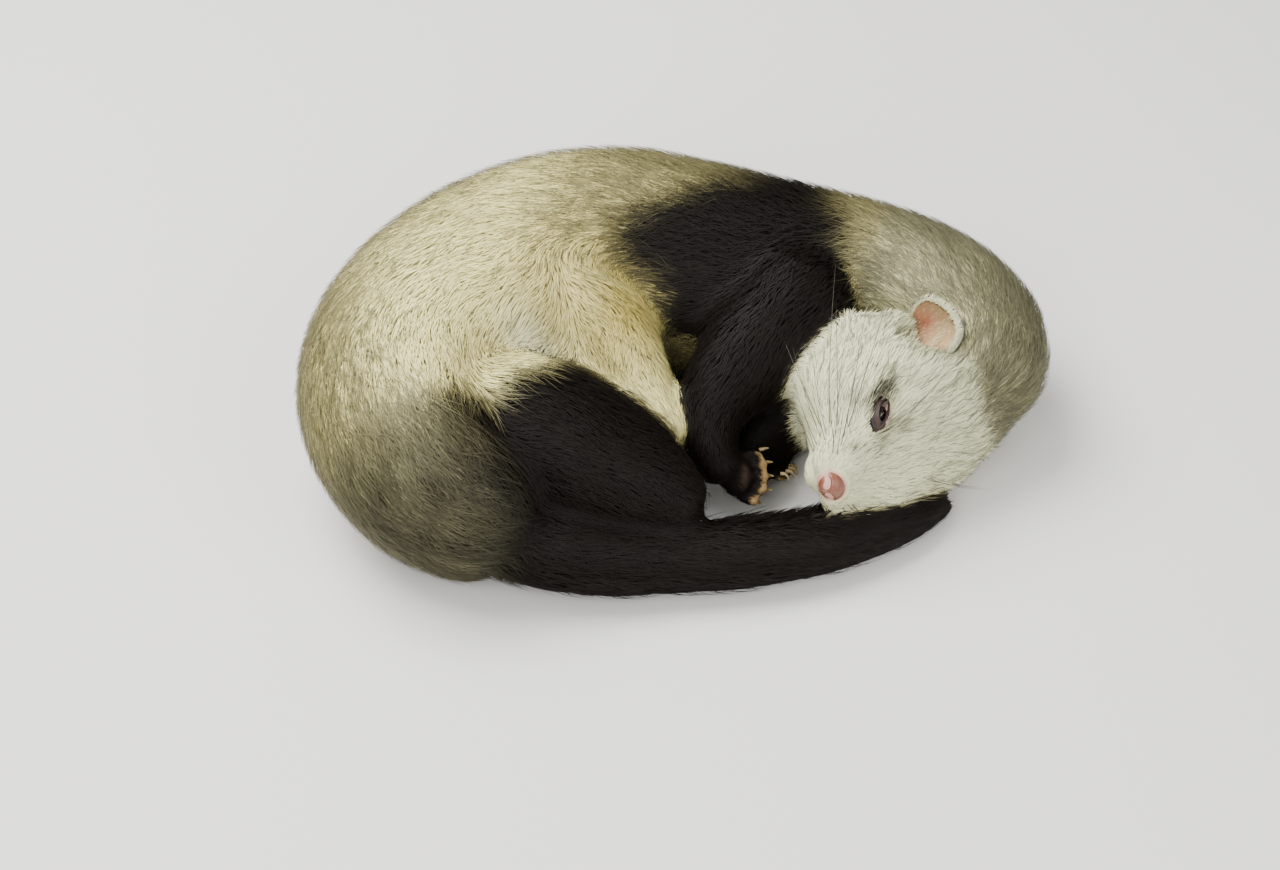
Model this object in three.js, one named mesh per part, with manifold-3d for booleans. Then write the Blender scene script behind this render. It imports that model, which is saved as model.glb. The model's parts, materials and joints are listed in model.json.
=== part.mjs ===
// A life-size ferret asleep on its left side, curled round with its tail drawn in front of its nose.
// Millimetres. +X runs from the rump to the head, +Y towards the curled back, +Z up, floor at z = 0.
import * as THREE from "three";
import { mergeVertices } from "three/addons/utils/BufferGeometryUtils.js";
import Module from "manifold-3d";

const wasm = await Module();
wasm.setup();

// Driving sizes
const GAP = 0.3; // left between one part and the next
const BODY_RADIUS = 36; // half the depth of the belly, coat included
const HEAD_LENGTH = 66; // nose to the back of the skull
const HEAD_HALF_WIDTH = 31.5; // at the cheeks, coat included
const TAIL_RADIUS = 10.2; // of the brush half way along
const EYE_RADIUS = 3.6;
const EAR_RADIUS = 10;
const CLAW_LENGTH = 3.6;
const EAR_DEPTH = 8.6; // of the ball that the cup of an ear is cut from
const EAR_WALL = 1.5; // thickness of the cup of an ear
const EAR_FLOOR = 2.4; // how much thicker the cup is at its bottom
const EAR_RIM = 3.4; // where the cup is cut open, from its middle outwards
const NOSE_SIZE = [4.2, 5.0, 4.3]; // half sizes of the pad of the nose: forward, across, upwards
const MOUTH_GAP = 0.7; // width of the line of the mouth
const LID_SIZE = [5.4, 4.9, 4.9]; // half sizes of the lids: along the slit, across it, outwards
const SLIT_SIZE = [4.1, 1.0, 2.6]; // half sizes of the opening between the lids

// How the head lies on its left cheek: turned in towards the rump, its nose and crown raised a little
const HEAD_TURN = THREE.MathUtils.degToRad(28.5);
const HEAD_PITCH = THREE.MathUtils.degToRad(8);
const HEAD_ROLL = THREE.MathUtils.degToRad(17);
const NOSE_TIP = [52.2, -53.2, 31];

const UP = new THREE.Vector3(0, 0, 1);
const FAR = 300; // beyond every part of the model

// A smooth value at u, from 0 to 1, along a row of numbers
function along(row, u) {
  const last = row.length - 1;
  const x = THREE.MathUtils.clamp(u, 0, 1) * last;
  const i = Math.min(Math.floor(x), last - 1);
  const t = x - i;
  const a = row[i];
  const b = row[i + 1];
  const before = i > 0 ? row[i - 1] : 2 * a - b;
  const after = i + 2 <= last ? row[i + 2] : 2 * b - a;
  const square = 2 * before - 5 * a + 4 * b - after;
  const cube = 3 * (a - b) + after - before;
  return a + 0.5 * t * (b - before + t * (square + t * cube));
}

function alongVector(rows, u) {
  return new THREE.Vector3(...[0, 1, 2].map((k) => along(rows.map((r) => r[k]), u)));
}

// The way a line runs at u
function tangentAt(centres, u) {
  const step = 0.004;
  const ahead = alongVector(centres, Math.min(u + step, 1));
  return ahead.sub(alongVector(centres, Math.max(u - step, 0))).normalize();
}

// A section's half sizes towards the back, the belly, the right and the left
function halves(size) {
  if (typeof size === "number") return [size, size, size, size];
  return size.length === 2 ? [size[0], size[0], size[1], size[1]] : size;
}

// One station of a limb or body: its centre, its half sizes, and which way its back faces
function station(at, size, back = [0, 0, 1]) {
  return { at, size: halves(size), back };
}

// A closed skin drawn along a line of stations, between the shares from and to of its length.
// A cap rounds an end off over that length, and without one the end is flat.
function sweep(line, options = {}) {
  const { rings = 16, sides = 24, from = 0, to = 1, grow = 0 } = options;
  const { startCap = 0, endCap = 0, capRings = 4 } = options;
  const centres = line.map((s) => s.at);
  const backs = line.map((s) => s.back);
  const positions = [];
  const index = [];

  const addRing = (u, slide, shrink) => {
    const tangent = tangentAt(centres, u);
    const back = alongVector(backs, u);
    back.addScaledVector(tangent, -back.dot(tangent)).normalize();
    const right = new THREE.Vector3().crossVectors(tangent, back);
    const centre = alongVector(centres, u).addScaledVector(tangent, slide);
    const size = [0, 1, 2, 3].map((k) => (along(line.map((s) => s.size[k]), u) + grow) * shrink);
    for (let j = 0; j < sides; j++) {
      const angle = (2 * Math.PI * j) / sides;
      const c = Math.cos(angle);
      const s = Math.sin(angle);
      const p = centre
        .clone()
        .addScaledVector(back, c * size[c > 0 ? 0 : 1])
        .addScaledVector(right, s * size[s > 0 ? 2 : 3]);
      positions.push(p.x, p.y, p.z);
    }
  };
  const addPole = (u, slide) => {
    const p = alongVector(centres, u).addScaledVector(tangentAt(centres, u), slide);
    positions.push(p.x, p.y, p.z);
  };

  const startRound = startCap ? startCap + grow : 0;
  const endRound = endCap ? endCap + grow : 0;
  const startFlat = startCap ? 0 : grow;
  const endFlat = endCap ? 0 : grow;
  addPole(from, -startRound - startFlat);
  let count = 0;
  for (let k = capRings - 1; startRound && k > 0; k--, count++) {
    const turn = (Math.PI / 2) * (k / capRings);
    addRing(from, -startRound * Math.sin(turn), Math.cos(turn));
  }
  for (let i = 0; i <= rings; i++, count++) {
    const slide = i === 0 ? -startFlat : i === rings ? endFlat : 0;
    addRing(from + ((to - from) * i) / rings, slide, 1);
  }
  for (let k = 1; endRound && k < capRings; k++, count++) {
    const turn = (Math.PI / 2) * (k / capRings);
    addRing(to, endRound * Math.sin(turn), Math.cos(turn));
  }
  addPole(to, endRound + endFlat);

  const at = (ring, j) => 1 + ring * sides + (j % sides);
  const endPole = 1 + count * sides;
  for (let j = 0; j < sides; j++) {
    index.push(0, at(0, j + 1), at(0, j));
    index.push(endPole, at(count - 1, j), at(count - 1, j + 1));
    for (let i = 0; i + 1 < count; i++) {
      index.push(at(i, j), at(i, j + 1), at(i + 1, j));
      index.push(at(i, j + 1), at(i + 1, j + 1), at(i + 1, j));
    }
  }
  const geometry = new THREE.BufferGeometry();
  geometry.setAttribute("position", new THREE.Float32BufferAttribute(positions, 3));
  geometry.setIndex(index);
  return solid(geometry);
}

// One length of a line that is cut into parts, half a gap short of where the next begins
function portion(line, total, part, options) {
  const { from, to, rings, startCap = 0, endCap = 0 } = part;
  const inset = GAP / 2 / total;
  const ends = { from: startCap ? from : from + inset, to: endCap ? to : to - inset };
  return sweep(line, { ...options, ...ends, rings, startCap, endCap });
}

function solid(geometry) {
  return new wasm.Manifold(
    new wasm.Mesh({
      numProp: 3,
      vertProperties: new Float32Array(geometry.attributes.position.array),
      triVerts: new Uint32Array(geometry.index.array),
    }),
  );
}

function closed(geometry) {
  geometry.deleteAttribute("normal");
  geometry.deleteAttribute("uv");
  return mergeVertices(geometry, 1e-4);
}

// An ellipsoid with its three half sizes along the columns of a turn
function ball(centre, size, turn = new THREE.Matrix4(), detail = 16) {
  const geometry = closed(new THREE.SphereGeometry(1, detail, Math.round(detail * 0.6)));
  geometry.scale(...size);
  geometry.applyMatrix4(turn);
  geometry.translate(...centre);
  return solid(geometry);
}

function block(low, high, turn = new THREE.Matrix4()) {
  const size = high.map((h, k) => h - low[k]);
  const geometry = closed(new THREE.BoxGeometry(...size));
  geometry.translate(...low.map((l, k) => l + size[k] / 2));
  geometry.applyMatrix4(turn);
  return solid(geometry);
}

function joined(solids) {
  return solids.reduce((a, b) => a.add(b));
}

// The largest closed surface, which drops loose scraps
function largest(shape) {
  return shape.decompose().reduce((a, b) => (b.volume() > a.volume() ? b : a));
}

const belowFloor = block([-FAR, -FAR, -FAR], [FAR, FAR, 0]);

// The head's own frame: x forward to the nose, y to its left, z to its crown, from the nose tip
const headLevel = new THREE.Vector3(Math.sin(HEAD_TURN), Math.cos(HEAD_TURN), 0);
const headSide = new THREE.Vector3().crossVectors(headLevel, UP);
const headBack = headLevel.clone().applyAxisAngle(headSide, -HEAD_PITCH);
const headCrown = headSide.clone().applyAxisAngle(headBack, -HEAD_ROLL);
const headForward = headBack.clone().negate();
const headLeft = new THREE.Vector3().crossVectors(headCrown, headForward);
const headTurn = new THREE.Matrix4().makeBasis(headForward, headLeft, headCrown);
const headPlace = headTurn.clone().setPosition(...NOSE_TIP);

function onHead(x, y, z) {
  return new THREE.Vector3(x, y, z).applyMatrix4(headPlace).toArray();
}

const crownArray = headCrown.toArray();

// Head sections from the nose back: distance from its tip, then crown, chin and side half sizes
const W = HEAD_HALF_WIDTH;
const headSections = [
  [0.045, 0.17, 0.17, 0.21],
  [0.11, 0.24, 0.26, 0.33],
  [0.2, 0.33, 0.37, 0.47],
  [0.3, 0.44, 0.49, 0.62],
  [0.41, 0.6, 0.63, 0.78],
  [0.54, 0.77, 0.78, 0.92],
  [0.68, 0.92, 0.88, 0.99],
  [0.84, 1.0, 0.95, 1.0],
  [1.0, 1.03, 0.97, 0.97],
];
const headLine = headSections
  .map(([share, crown, chin, side]) =>
    station(onHead(-share * HEAD_LENGTH, 0, 0), [crown * W, chin * W, side * W, side * W], crownArray),
  )
  .reverse();

// The plane in which the head meets the neck, as the turn of the bend is halved
const nape = new THREE.Vector3(86, 3, 30);
const napeTurn = new THREE.Matrix4().makeRotationZ(THREE.MathUtils.degToRad(14));
const beforeNape = block([-90, -200, -100], [90, -GAP / 2, 100], napeTurn).translate(nape.toArray());
const behindNape = block([-90, GAP / 2, -100], [90, 200, 100], napeTurn).translate(nape.toArray());

// The round of the nape, flattened towards the side on which the ear lies
function napeShape(grow = 0) {
  const tilt = new THREE.Matrix4().makeRotationX(THREE.MathUtils.degToRad(45));
  return ball([93, 4, 27], [29.5, 23, 28].map((v) => v + grow), tilt, 18);
}

function headShape(grow = 0) {
  const cone = sweep(headLine, { rings: 16, sides: 24, startCap: 16, endCap: 2.2, capRings: 2, grow });
  return cone.add(napeShape(grow));
}

// Where each eye looks out, on the right and on the left of the head
function eyeAt(side) {
  return { centre: onHead(-22.5, -side * 11.6, 8.4), side };
}

// A frame whose x runs along the slit of the lids and whose z looks out
function eyeTurn(side) {
  const out = new THREE.Vector3(0.36, -side * 0.78, 0.5).normalize();
  const slit = new THREE.Vector3(-0.88, -side * 0.44, -0.1);
  slit.addScaledVector(out, -slit.dot(out)).normalize();
  const across = new THREE.Vector3().crossVectors(out, slit);
  return headTurn.clone().multiply(new THREE.Matrix4().makeBasis(slit, across, out));
}

function eyeBall(side, grow = 0) {
  const radius = EYE_RADIUS + grow;
  return ball(eyeAt(side).centre, [radius, radius, radius], new THREE.Matrix4(), 14);
}

function nosePad(grow = 0) {
  return ball(onHead(-3.2, 0, 0.8), NOSE_SIZE.map((s) => s + grow), headTurn, 14);
}

function nostrils() {
  return [1, -1].map((side) =>
    sweep(
      [
        station(onHead(2.2, -side * 1.5, 1.0), 0.9, crownArray),
        station(onHead(-0.3, -side * 2.5, 0.6), 1.0, crownArray),
        station(onHead(-1.8, -side * 4.3, 0.4), 0.6, crownArray),
        station(onHead(-3.6, -side * 5.8, 1.4), 0.4, crownArray),
      ],
      { rings: 4, sides: 6 },
    ),
  );
}

// A thin blade whose edge opens the line of the mouth, from one corner round the front to the other
function mouthLine() {
  const course = [
    [-20, 13.2, -3.2],
    [-13, 10.6, -5.2],
    [-6, 6.4, -4.9],
    [-2.6, 2.6, -4.1],
  ];
  const right = course.map(([x, y, z]) => [x, -y, z]);
  const left = course.slice().reverse();
  const line = [...right, [-1.7, 0, -3.9], ...left].map((p) =>
    station(onHead(...p), [MOUTH_GAP / 2, 2.0], crownArray),
  );
  return sweep(line, { rings: 14, sides: 4 });
}

// The flesh of the head: its cone and nape, the whisker pads, the lids and the chin
function headFlesh(grow = 0) {
  const more = (size) => size.map((v) => v + grow);
  const flesh = [headShape(grow), ball(onHead(-11.5, 0, -6.8), more([9, 6.6, 4]), headTurn, 12)];
  for (const side of [1, -1]) {
    flesh.push(ball(onHead(-9.5, -side * 5.6, -1.4), more([8.4, 6.2, 5.8]), headTurn, 12));
    flesh.push(ball(eyeAt(side).centre, more(LID_SIZE), eyeTurn(side), 12));
  }
  // The jaw and the loose cheek on the side that lies uppermost
  flesh.push(ball(onHead(-36, -12, -8), more([20, 19, 15]), headTurn, 16));
  flesh.push(ball(onHead(-50, -16, -6), more([18, 20, 12]), headTurn, 16));
  return joined(flesh);
}

function makeHead() {
  const cuts = [nosePad(GAP), mouthLine()];
  for (const side of [1, -1]) {
    const { centre } = eyeAt(side);
    const turn = eyeTurn(side);
    const out = new THREE.Vector3(0, 0, EYE_RADIUS).applyMatrix4(turn).toArray();
    cuts.push(eyeBall(side, GAP));
    cuts.push(ball(centre.map((c, k) => c + out[k]), SLIT_SIZE, turn, 12));
  }
  return headFlesh().subtract(joined(cuts));
}

// An ear is a cup whose low front lets one look in and whose high back wall stands out of the coat
function earTurn(side) {
  const open = new THREE.Vector3(0.5, -side * 0.78, -0.3).normalize();
  const hinge = new THREE.Vector3(-0.7, side * 0.1, -0.7);
  hinge.addScaledVector(open, -hinge.dot(open)).normalize();
  const across = new THREE.Vector3().crossVectors(open, hinge);
  return headTurn.clone().multiply(new THREE.Matrix4().makeBasis(hinge, across, open));
}

function earCentre(side) {
  return side > 0 ? onHead(-52, -23.5, 14) : onHead(-51, 20, 8.5);
}

function earShell(side, inset) {
  const centre = earCentre(side);
  const turn = earTurn(side);
  const lift = new THREE.Vector3(0, 0, inset > 0 ? EAR_FLOOR : 0).applyMatrix4(turn).toArray();
  const size = [EAR_RADIUS - inset, EAR_RADIUS * 0.92 - inset, EAR_DEPTH - Math.min(inset, 0)];
  return ball(centre.map((c, k) => c + lift[k]), size, turn, side > 0 ? 16 : 10);
}

function makeEar(side) {
  const place = earTurn(side).setPosition(...earCentre(side));
  const front = block([-20, -20, EAR_RIM], [20, 20, 20], place);
  return earShell(side, 0).subtract(earShell(side, EAR_WALL)).subtract(front);
}

// Torso and neck sections from the rump to the nape, along the curl
function facing(degrees) {
  const a = THREE.MathUtils.degToRad(degrees);
  return [Math.cos(a), Math.sin(a), 0];
}

const R = BODY_RADIUS;
const bodyLine = [
  station([-45, -55, 29], [0.6 * R, 0.42 * R, 0.6 * R, 0.82 * R], facing(240)),
  station([-55, -46, 32.5], [0.8 * R, 0.55 * R, 0.8 * R, 0.93 * R], facing(220)),
  station([-61, -33, 34.5], [0.95 * R, 0.6 * R, 0.88 * R, 1.0 * R], facing(198)),
  station([-62, -15, 36], [1.06 * R, 0.74 * R, 0.91 * R, 1.03 * R], facing(178)),
  station([-54, 5, 36], [1.14 * R, 0.96 * R, 0.94 * R, 1.03 * R], facing(152)),
  station([-36, 26, 36], [1.14 * R, 1.04 * R, 0.94 * R, 1.03 * R], facing(128)),
  station([-10, 38, 36], [1.06 * R, 1.05 * R, 0.93 * R, 1.02 * R], facing(100)),
  station([18, 36, 35.5], [0.92 * R, 0.98 * R, 0.88 * R, 1.0 * R], facing(82)),
  station([44, 32, 34.5], [0.8 * R, 0.88 * R, 0.84 * R, 0.97 * R], facing(77)),
  station([66, 28, 33], [0.72 * R, 0.78 * R, 0.82 * R, 0.93 * R], facing(66)),
  station([82, 20, 31], [0.84 * R, 0.55 * R, 0.74 * R, 0.88 * R], facing(45)),
  station([91, 8, 29], [0.88 * R, 0.36 * R, 0.64 * R, 0.82 * R], facing(12)),
  station([91, -6, 27], [0.8 * R, 0.4 * R, 0.58 * R, 0.76 * R], facing(-15)),
];
const torsoParts = [
  { name: "torso_rump", from: 0, to: 0.25, rings: 9, startCap: 17 },
  { name: "torso_belly", from: 0.25, to: 0.5, rings: 9 },
  { name: "torso_chest", from: 0.5, to: 0.73, rings: 7 },
  { name: "neck", from: 0.73, to: 1, rings: 9, endCap: 10 },
];
const bodyLength = 290; // along the curl, for the gap between lengths

function torsoPart(part, grow = 0) {
  return portion(bodyLine, bodyLength, part, { sides: 24, capRings: 3, grow });
}

// The loose skin that runs from the flank down to the knee
function flankFold(grow = 0) {
  const line = [
    station([-26, 17, 50], [16, 14], facing(90)),
    station([-10, 3, 45], [14, 12], facing(90)),
    station([-1, -11, 39], [11, 10], facing(90)),
    station([7, -26, 29], [7, 7], facing(90)),
  ];
  return sweep(line, { rings: 7, sides: 16, startCap: 8, endCap: 6, capRings: 3, grow });
}

// The soft of the belly, which fills the inside of the curl behind the legs
function bellyRound(grow = 0) {
  return ball([-20, 1, 26], [32, 24, 24].map((v) => v + grow), new THREE.Matrix4(), 14);
}

// A paw: a palm, five toes fanned from it, and a claw on each. Fine paws have pads as well.
function paw({ root, forward, sole, width, length, fine = false, grow = 0 }) {
  const sides = fine ? 8 : 5;
  const f = new THREE.Vector3(...forward).normalize();
  const s = new THREE.Vector3(...sole);
  s.addScaledVector(f, -s.dot(f)).normalize();
  const across = new THREE.Vector3().crossVectors(s, f);
  const turn = new THREE.Matrix4().makeBasis(f, across, s);
  const place = turn.clone().setPosition(...root);
  const on = (x, y, z) => new THREE.Vector3(x, y, z).applyMatrix4(place).toArray();
  const thick = width * 0.3;
  const palmSize = [length * 0.42, width * 0.46, thick].map((v) => v + grow);
  const pieces = [ball(on(length * 0.22, 0, 0), palmSize, turn, 10)];
  if (grow) {
    pieces.push(ball(on(length * 0.6, 0, 0), [length * 0.72, width * 0.8, thick + 2], turn, 12));
    return joined(pieces);
  }
  const back = s.clone().negate().toArray();
  const toe = width * 0.135;
  for (let i = 0; i < 5; i++) {
    const share = (i - 2) / 2;
    const reach = length * (0.86 - 0.12 * share * share - (i === 0 ? 0.12 : 0));
    const spread = share * width * 0.46;
    const line = [
      station(on(length * 0.3, spread * 0.7, 0), toe, back),
      station(on(reach * 0.72, spread * 0.95, -toe * 0.35), toe * 0.95, back),
      station(on(reach, spread * 1.08, toe * 0.15), toe * 0.92, back),
    ];
    const caps = { startCap: toe, endCap: toe * 0.9, capRings: 2 };
    pieces.push(sweep(line, { rings: 2, sides, ...caps }));
    const claw = [
      station(on(reach, spread * 1.07, -toe * 0.25), [1.1, 0.8], back),
      station(on(reach + CLAW_LENGTH * 0.6, spread * 1.14, -toe * 0.1), [0.85, 0.6], back),
      station(on(reach + CLAW_LENGTH, spread * 1.18, toe * 0.6), [0.3, 0.3], back),
    ];
    pieces.push(sweep(claw, { rings: 2, sides: 5 }));
    if (fine) {
      const pad = [toe, toe * 0.8, toe * 0.6];
      pieces.push(ball(on(reach * 0.97, spread * 1.05, toe * 0.75), pad, turn, 8));
    }
  }
  if (fine) {
    const pad = [length * 0.2, width * 0.32, thick * 0.6];
    pieces.push(ball(on(length * 0.34, 0, thick * 0.62), pad, turn, 10));
  }
  return joined(pieces);
}

const limbs = {
  foreleg_right: [
    station([50, 14, 46], [20, 18], facing(20)),
    station([39, 0, 42], [19, 17], facing(20)),
    station([27, -12, 36], [15, 13.5], facing(20)),
    station([21, -20, 29.5], [11, 10.5], facing(20)),
    station([20.5, -26.5, 22.5], [8.4, 8.4], facing(20)),
    station([23.5, -30, 16], [7, 7], facing(20)),
  ],
  foreleg_left: [
    station([54, 6, 17], [14, 14], facing(20)),
    station([43, -5, 13], [12, 12], facing(20)),
    station([34, -13, 10], [9.5, 9.5], facing(20)),
    station([32, -20, 7.5], [7.2, 7.2], facing(20)),
  ],
  hindleg_right: [
    station([-54, -31, 38], [22, 20], facing(90)),
    station([-37, -33, 37.5], [24, 21], facing(90)),
    station([-17, -39, 34], [22, 19], facing(90)),
    station([1, -45, 28], [17, 14], facing(90)),
    station([10, -49, 24], [12, 11], facing(90)),
  ],
  hindleg_left: [
    station([-40, -24, 15], [16, 14], facing(90)),
    station([-20, -28, 14], [15, 13], facing(90)),
    station([0, -30, 12], [11, 11], facing(90)),
  ],
  shank_right: [
    station([8, -45, 16], [9.5, 9], facing(90)),
    station([-8, -46, 13.5], [9, 8.5], facing(90)),
    station([-24, -47, 11], [7.5, 7.5], facing(90)),
    station([-33, -48, 9], [6.5, 7], facing(90)),
  ],
};
const limbCaps = {
  foreleg_right: { rings: 9, startCap: 10, endCap: 4 },
  foreleg_left: { rings: 5, sides: 12, startCap: 8, endCap: 4 },
  hindleg_right: { rings: 8, startCap: 10, endCap: 10 },
  hindleg_left: { rings: 4, sides: 12, startCap: 8, endCap: 8 },
  shank_right: { rings: 5, sides: 12, startCap: 6, endCap: 6 },
};

function limb(name, grow = 0) {
  return sweep(limbs[name], { sides: 16, capRings: 2, ...limbCaps[name], grow });
}

const foreSole = [0, -0.8, 0.6];
const hindSole = [0, -0.9, -0.4];
const under = [0, -0.5, -0.8];
const paws = {
  forepaw_right: {
    root: [25.5, -31, 14.2],
    forward: [1, 0.02, -0.03],
    sole: foreSole,
    width: 15.5,
    length: 13.5,
    fine: true,
  },
  forepaw_left: { root: [32, -20, 6.5], forward: [1, -0.15, 0], sole: under, width: 15, length: 15 },
  hindpaw_right: { root: [-14, -49, 7], forward: [1, 0.02, 0], sole: hindSole, width: 15, length: 26 },
  hindpaw_left: { root: [-20, -38, 6], forward: [1, 0, 0], sole: under, width: 14, length: 26 },
};

const T = TAIL_RADIUS;
const upward = UP.toArray();
const tailLine = [
  station([-47, -54.5, 25.5], [1.3 * T, 1.4 * T], upward),
  station([-33, -59.5, 18.5], [1.28 * T, 1.34 * T], upward),
  station([-12, -61.5, 13.4], [1.14 * T, 1.2 * T], upward),
  station([10, -60.4, 11.2], [1.02 * T, 1.06 * T], upward),
  station([32, -58.5, 10.6], [0.97 * T, 1.0 * T], upward),
  station([53, -53.5, 10], [0.9 * T, 0.93 * T], upward),
  station([69, -46, 8.9], [0.8 * T, 0.84 * T], upward),
  station([80, -40.5, 7.6], [0.64 * T, 0.66 * T], upward),
  station([87, -36.5, 6], [0.38 * T, 0.4 * T], upward),
];
const tailParts = [
  { name: "tail_base", from: 0, to: 0.36, rings: 7, startCap: 8 },
  { name: "tail_middle", from: 0.36, to: 0.68, rings: 6 },
  { name: "tail_tip", from: 0.68, to: 1, rings: 8, endCap: 6 },
];
const tailLength = 175; // along the brush, for the gap between lengths

function tailPart(part, grow = 0) {
  return portion(tailLine, tailLength, part, { sides: 16, capRings: 2, grow });
}

// Every part in the order in which it keeps its shape: each is cut clear of those before it
const order = [];
function add(name, finish, make, cutter) {
  order.push({ name, finish, make, cutter });
}

const finishes = {
  cream_fur: { color: "#cfc4a0", roughness: 0.85, metalness: 0 },
  dark_fur: { color: "#1c1814", roughness: 0.8, metalness: 0 },
  white_fur: { color: "#ddd9c8", roughness: 0.85, metalness: 0 },
  pink_skin: { color: "#c98f7c", roughness: 0.5, metalness: 0 },
  dark_eye: { color: "#120b08", roughness: 0.1, metalness: 0 },
};

add("nose", "pink_skin", () => nosePad().subtract(joined(nostrils())), () => nosePad(GAP));
for (const side of [1, -1]) {
  add(side > 0 ? "eye_right" : "eye_left", "dark_eye", () => eyeBall(side), () => eyeBall(side, GAP));
}
for (const side of [1, -1]) {
  const name = side > 0 ? "ear_right" : "ear_left";
  add(name, "white_fur", () => makeEar(side), () => earShell(side, -GAP));
}
const toNape = (shape) => shape.subtract(behindNape);
add("head", "white_fur", () => toNape(makeHead()), () => toNape(headFlesh(GAP)));
for (const part of torsoParts) {
  const shape = (grow) => {
    const flesh = torsoPart(part, grow);
    if (part.name === "torso_belly") return joined([flesh, flankFold(grow), bellyRound(grow)]);
    return part.name === "neck" ? flesh.subtract(beforeNape) : flesh;
  };
  const dark = part.name === "torso_chest";
  add(part.name, dark ? "dark_fur" : "cream_fur", () => shape(0), () => shape(GAP));
}
for (const name of ["hindleg_right", "foreleg_right", "hindleg_left", "foreleg_left", "shank_right"]) {
  add(name, "dark_fur", () => limb(name), () => limb(name, GAP));
}
for (const name of Object.keys(paws)) {
  add(name, "dark_fur", () => paw(paws[name]), () => paw({ ...paws[name], grow: GAP }));
}
for (const part of tailParts) {
  add(part.name, "dark_fur", () => tailPart(part), () => tailPart(part, GAP));
}

function apart(a, b) {
  const p = a.boundingBox();
  const q = b.boundingBox();
  return [0, 1, 2].some((k) => p.min[k] > q.max[k] || q.min[k] > p.max[k]);
}

function toGeometry(shape) {
  const mesh = shape.getMesh();
  const geometry = new THREE.BufferGeometry();
  geometry.setAttribute("position", new THREE.BufferAttribute(new Float32Array(mesh.vertProperties), 3));
  geometry.setIndex(new THREE.BufferAttribute(new Uint32Array(mesh.triVerts), 1));
  return geometry;
}

const cutters = [];
const shapes = [];
for (const part of order) {
  let shape = part.make().subtract(belowFloor);
  for (const { name, cutter } of cutters) {
    const insideHead = part.name === "head" && (name === "nose" || name.startsWith("eye"));
    if (!insideHead && !apart(shape, cutter)) shape = shape.subtract(cutter);
  }
  shape = largest(shape);
  shapes.push({ ...part, shape });
  cutters.push({ name: part.name, cutter: part.cutter() });
}

// The whole stands on the floor with its box centred on the origin
const low = [0, 1, 2].map((k) => Math.min(...shapes.map((s) => s.shape.boundingBox().min[k])));
const high = [0, 1].map((k) => Math.max(...shapes.map((s) => s.shape.boundingBox().max[k])));
const origin = [(low[0] + high[0]) / 2, (low[1] + high[1]) / 2, low[2]];

const ferret = new THREE.Group();
ferret.name = "ferret";
for (const { name, finish, shape } of shapes) {
  const geometry = toGeometry(shape);
  geometry.computeBoundingBox();
  const pivot = geometry.boundingBox.getCenter(new THREE.Vector3());
  geometry.translate(-pivot.x, -pivot.y, -pivot.z);
  geometry.computeVertexNormals();
  const mesh = new THREE.Mesh(geometry, new THREE.MeshStandardMaterial(finishes[finish]));
  mesh.name = name;
  mesh.position.copy(pivot).sub(new THREE.Vector3(...origin));
  ferret.add(mesh);
}

export default ferret;
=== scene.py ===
import json
import math

import bpy
import numpy as np
from mathutils import Matrix, Vector
from mathutils.bvhtree import BVHTree

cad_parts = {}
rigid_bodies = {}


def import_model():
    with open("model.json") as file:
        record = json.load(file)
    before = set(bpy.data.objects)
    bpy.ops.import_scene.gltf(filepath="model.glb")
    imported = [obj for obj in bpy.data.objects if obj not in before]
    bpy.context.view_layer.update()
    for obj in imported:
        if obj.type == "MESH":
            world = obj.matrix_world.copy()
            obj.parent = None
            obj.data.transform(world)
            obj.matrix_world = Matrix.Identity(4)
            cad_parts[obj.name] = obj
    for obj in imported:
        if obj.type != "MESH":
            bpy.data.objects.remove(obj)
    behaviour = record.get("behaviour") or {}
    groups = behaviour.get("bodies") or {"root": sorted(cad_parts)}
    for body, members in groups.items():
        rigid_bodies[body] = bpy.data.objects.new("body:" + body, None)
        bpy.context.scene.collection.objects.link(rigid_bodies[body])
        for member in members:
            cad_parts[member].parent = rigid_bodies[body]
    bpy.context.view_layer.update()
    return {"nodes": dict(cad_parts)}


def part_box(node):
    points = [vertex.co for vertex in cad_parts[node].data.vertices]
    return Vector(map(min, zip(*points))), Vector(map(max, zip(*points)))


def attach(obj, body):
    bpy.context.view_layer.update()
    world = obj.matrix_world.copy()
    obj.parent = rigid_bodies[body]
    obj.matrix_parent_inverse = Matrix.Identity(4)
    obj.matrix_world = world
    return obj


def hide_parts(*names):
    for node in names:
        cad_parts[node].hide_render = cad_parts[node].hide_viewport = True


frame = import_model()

bl_info = {
    "name": "Sleeping ferret",
    "version": (1, 0, 0),
    "blender": (4, 5, 0),
    "location": "3D View > Sidebar > Ferret",
    "description": "Builds a sleeping ferret's skin, coat, ears, lids, nose, whiskers and claws",
    "category": "Object",
}

MM = 0.001
IMAGE = (1280, 870)

# The solids' nodes that the skin stands for. The eyes stay as they are.
FLESH = (
    "head", "torso_rump", "torso_belly", "torso_chest", "neck", "hindleg_right", "foreleg_right",
    "hindleg_left", "foreleg_left", "shank_right", "tail_base", "tail_middle", "tail_tip",
)
PAW_NODES = ("forepaw_right", "forepaw_left", "hindpaw_right", "hindpaw_left")

# The head's own frame, as in the part: it lies on its left cheek, nose and crown a little raised
HEAD_TURN, HEAD_PITCH, HEAD_ROLL = math.radians(28.5), math.radians(8), math.radians(17)
NOSE_TIP = np.array([52.2, -53.2, 31.0])


def unit(vectors):
    """Vectors brought to a length of one."""
    return vectors / np.maximum(np.linalg.norm(vectors, axis=-1, keepdims=True), 1e-12)


def turned(vector, axis, angle):
    """A vector turned about an axis."""
    return np.array(Matrix.Rotation(angle, 3, Vector(axis)) @ Vector(vector))


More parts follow.
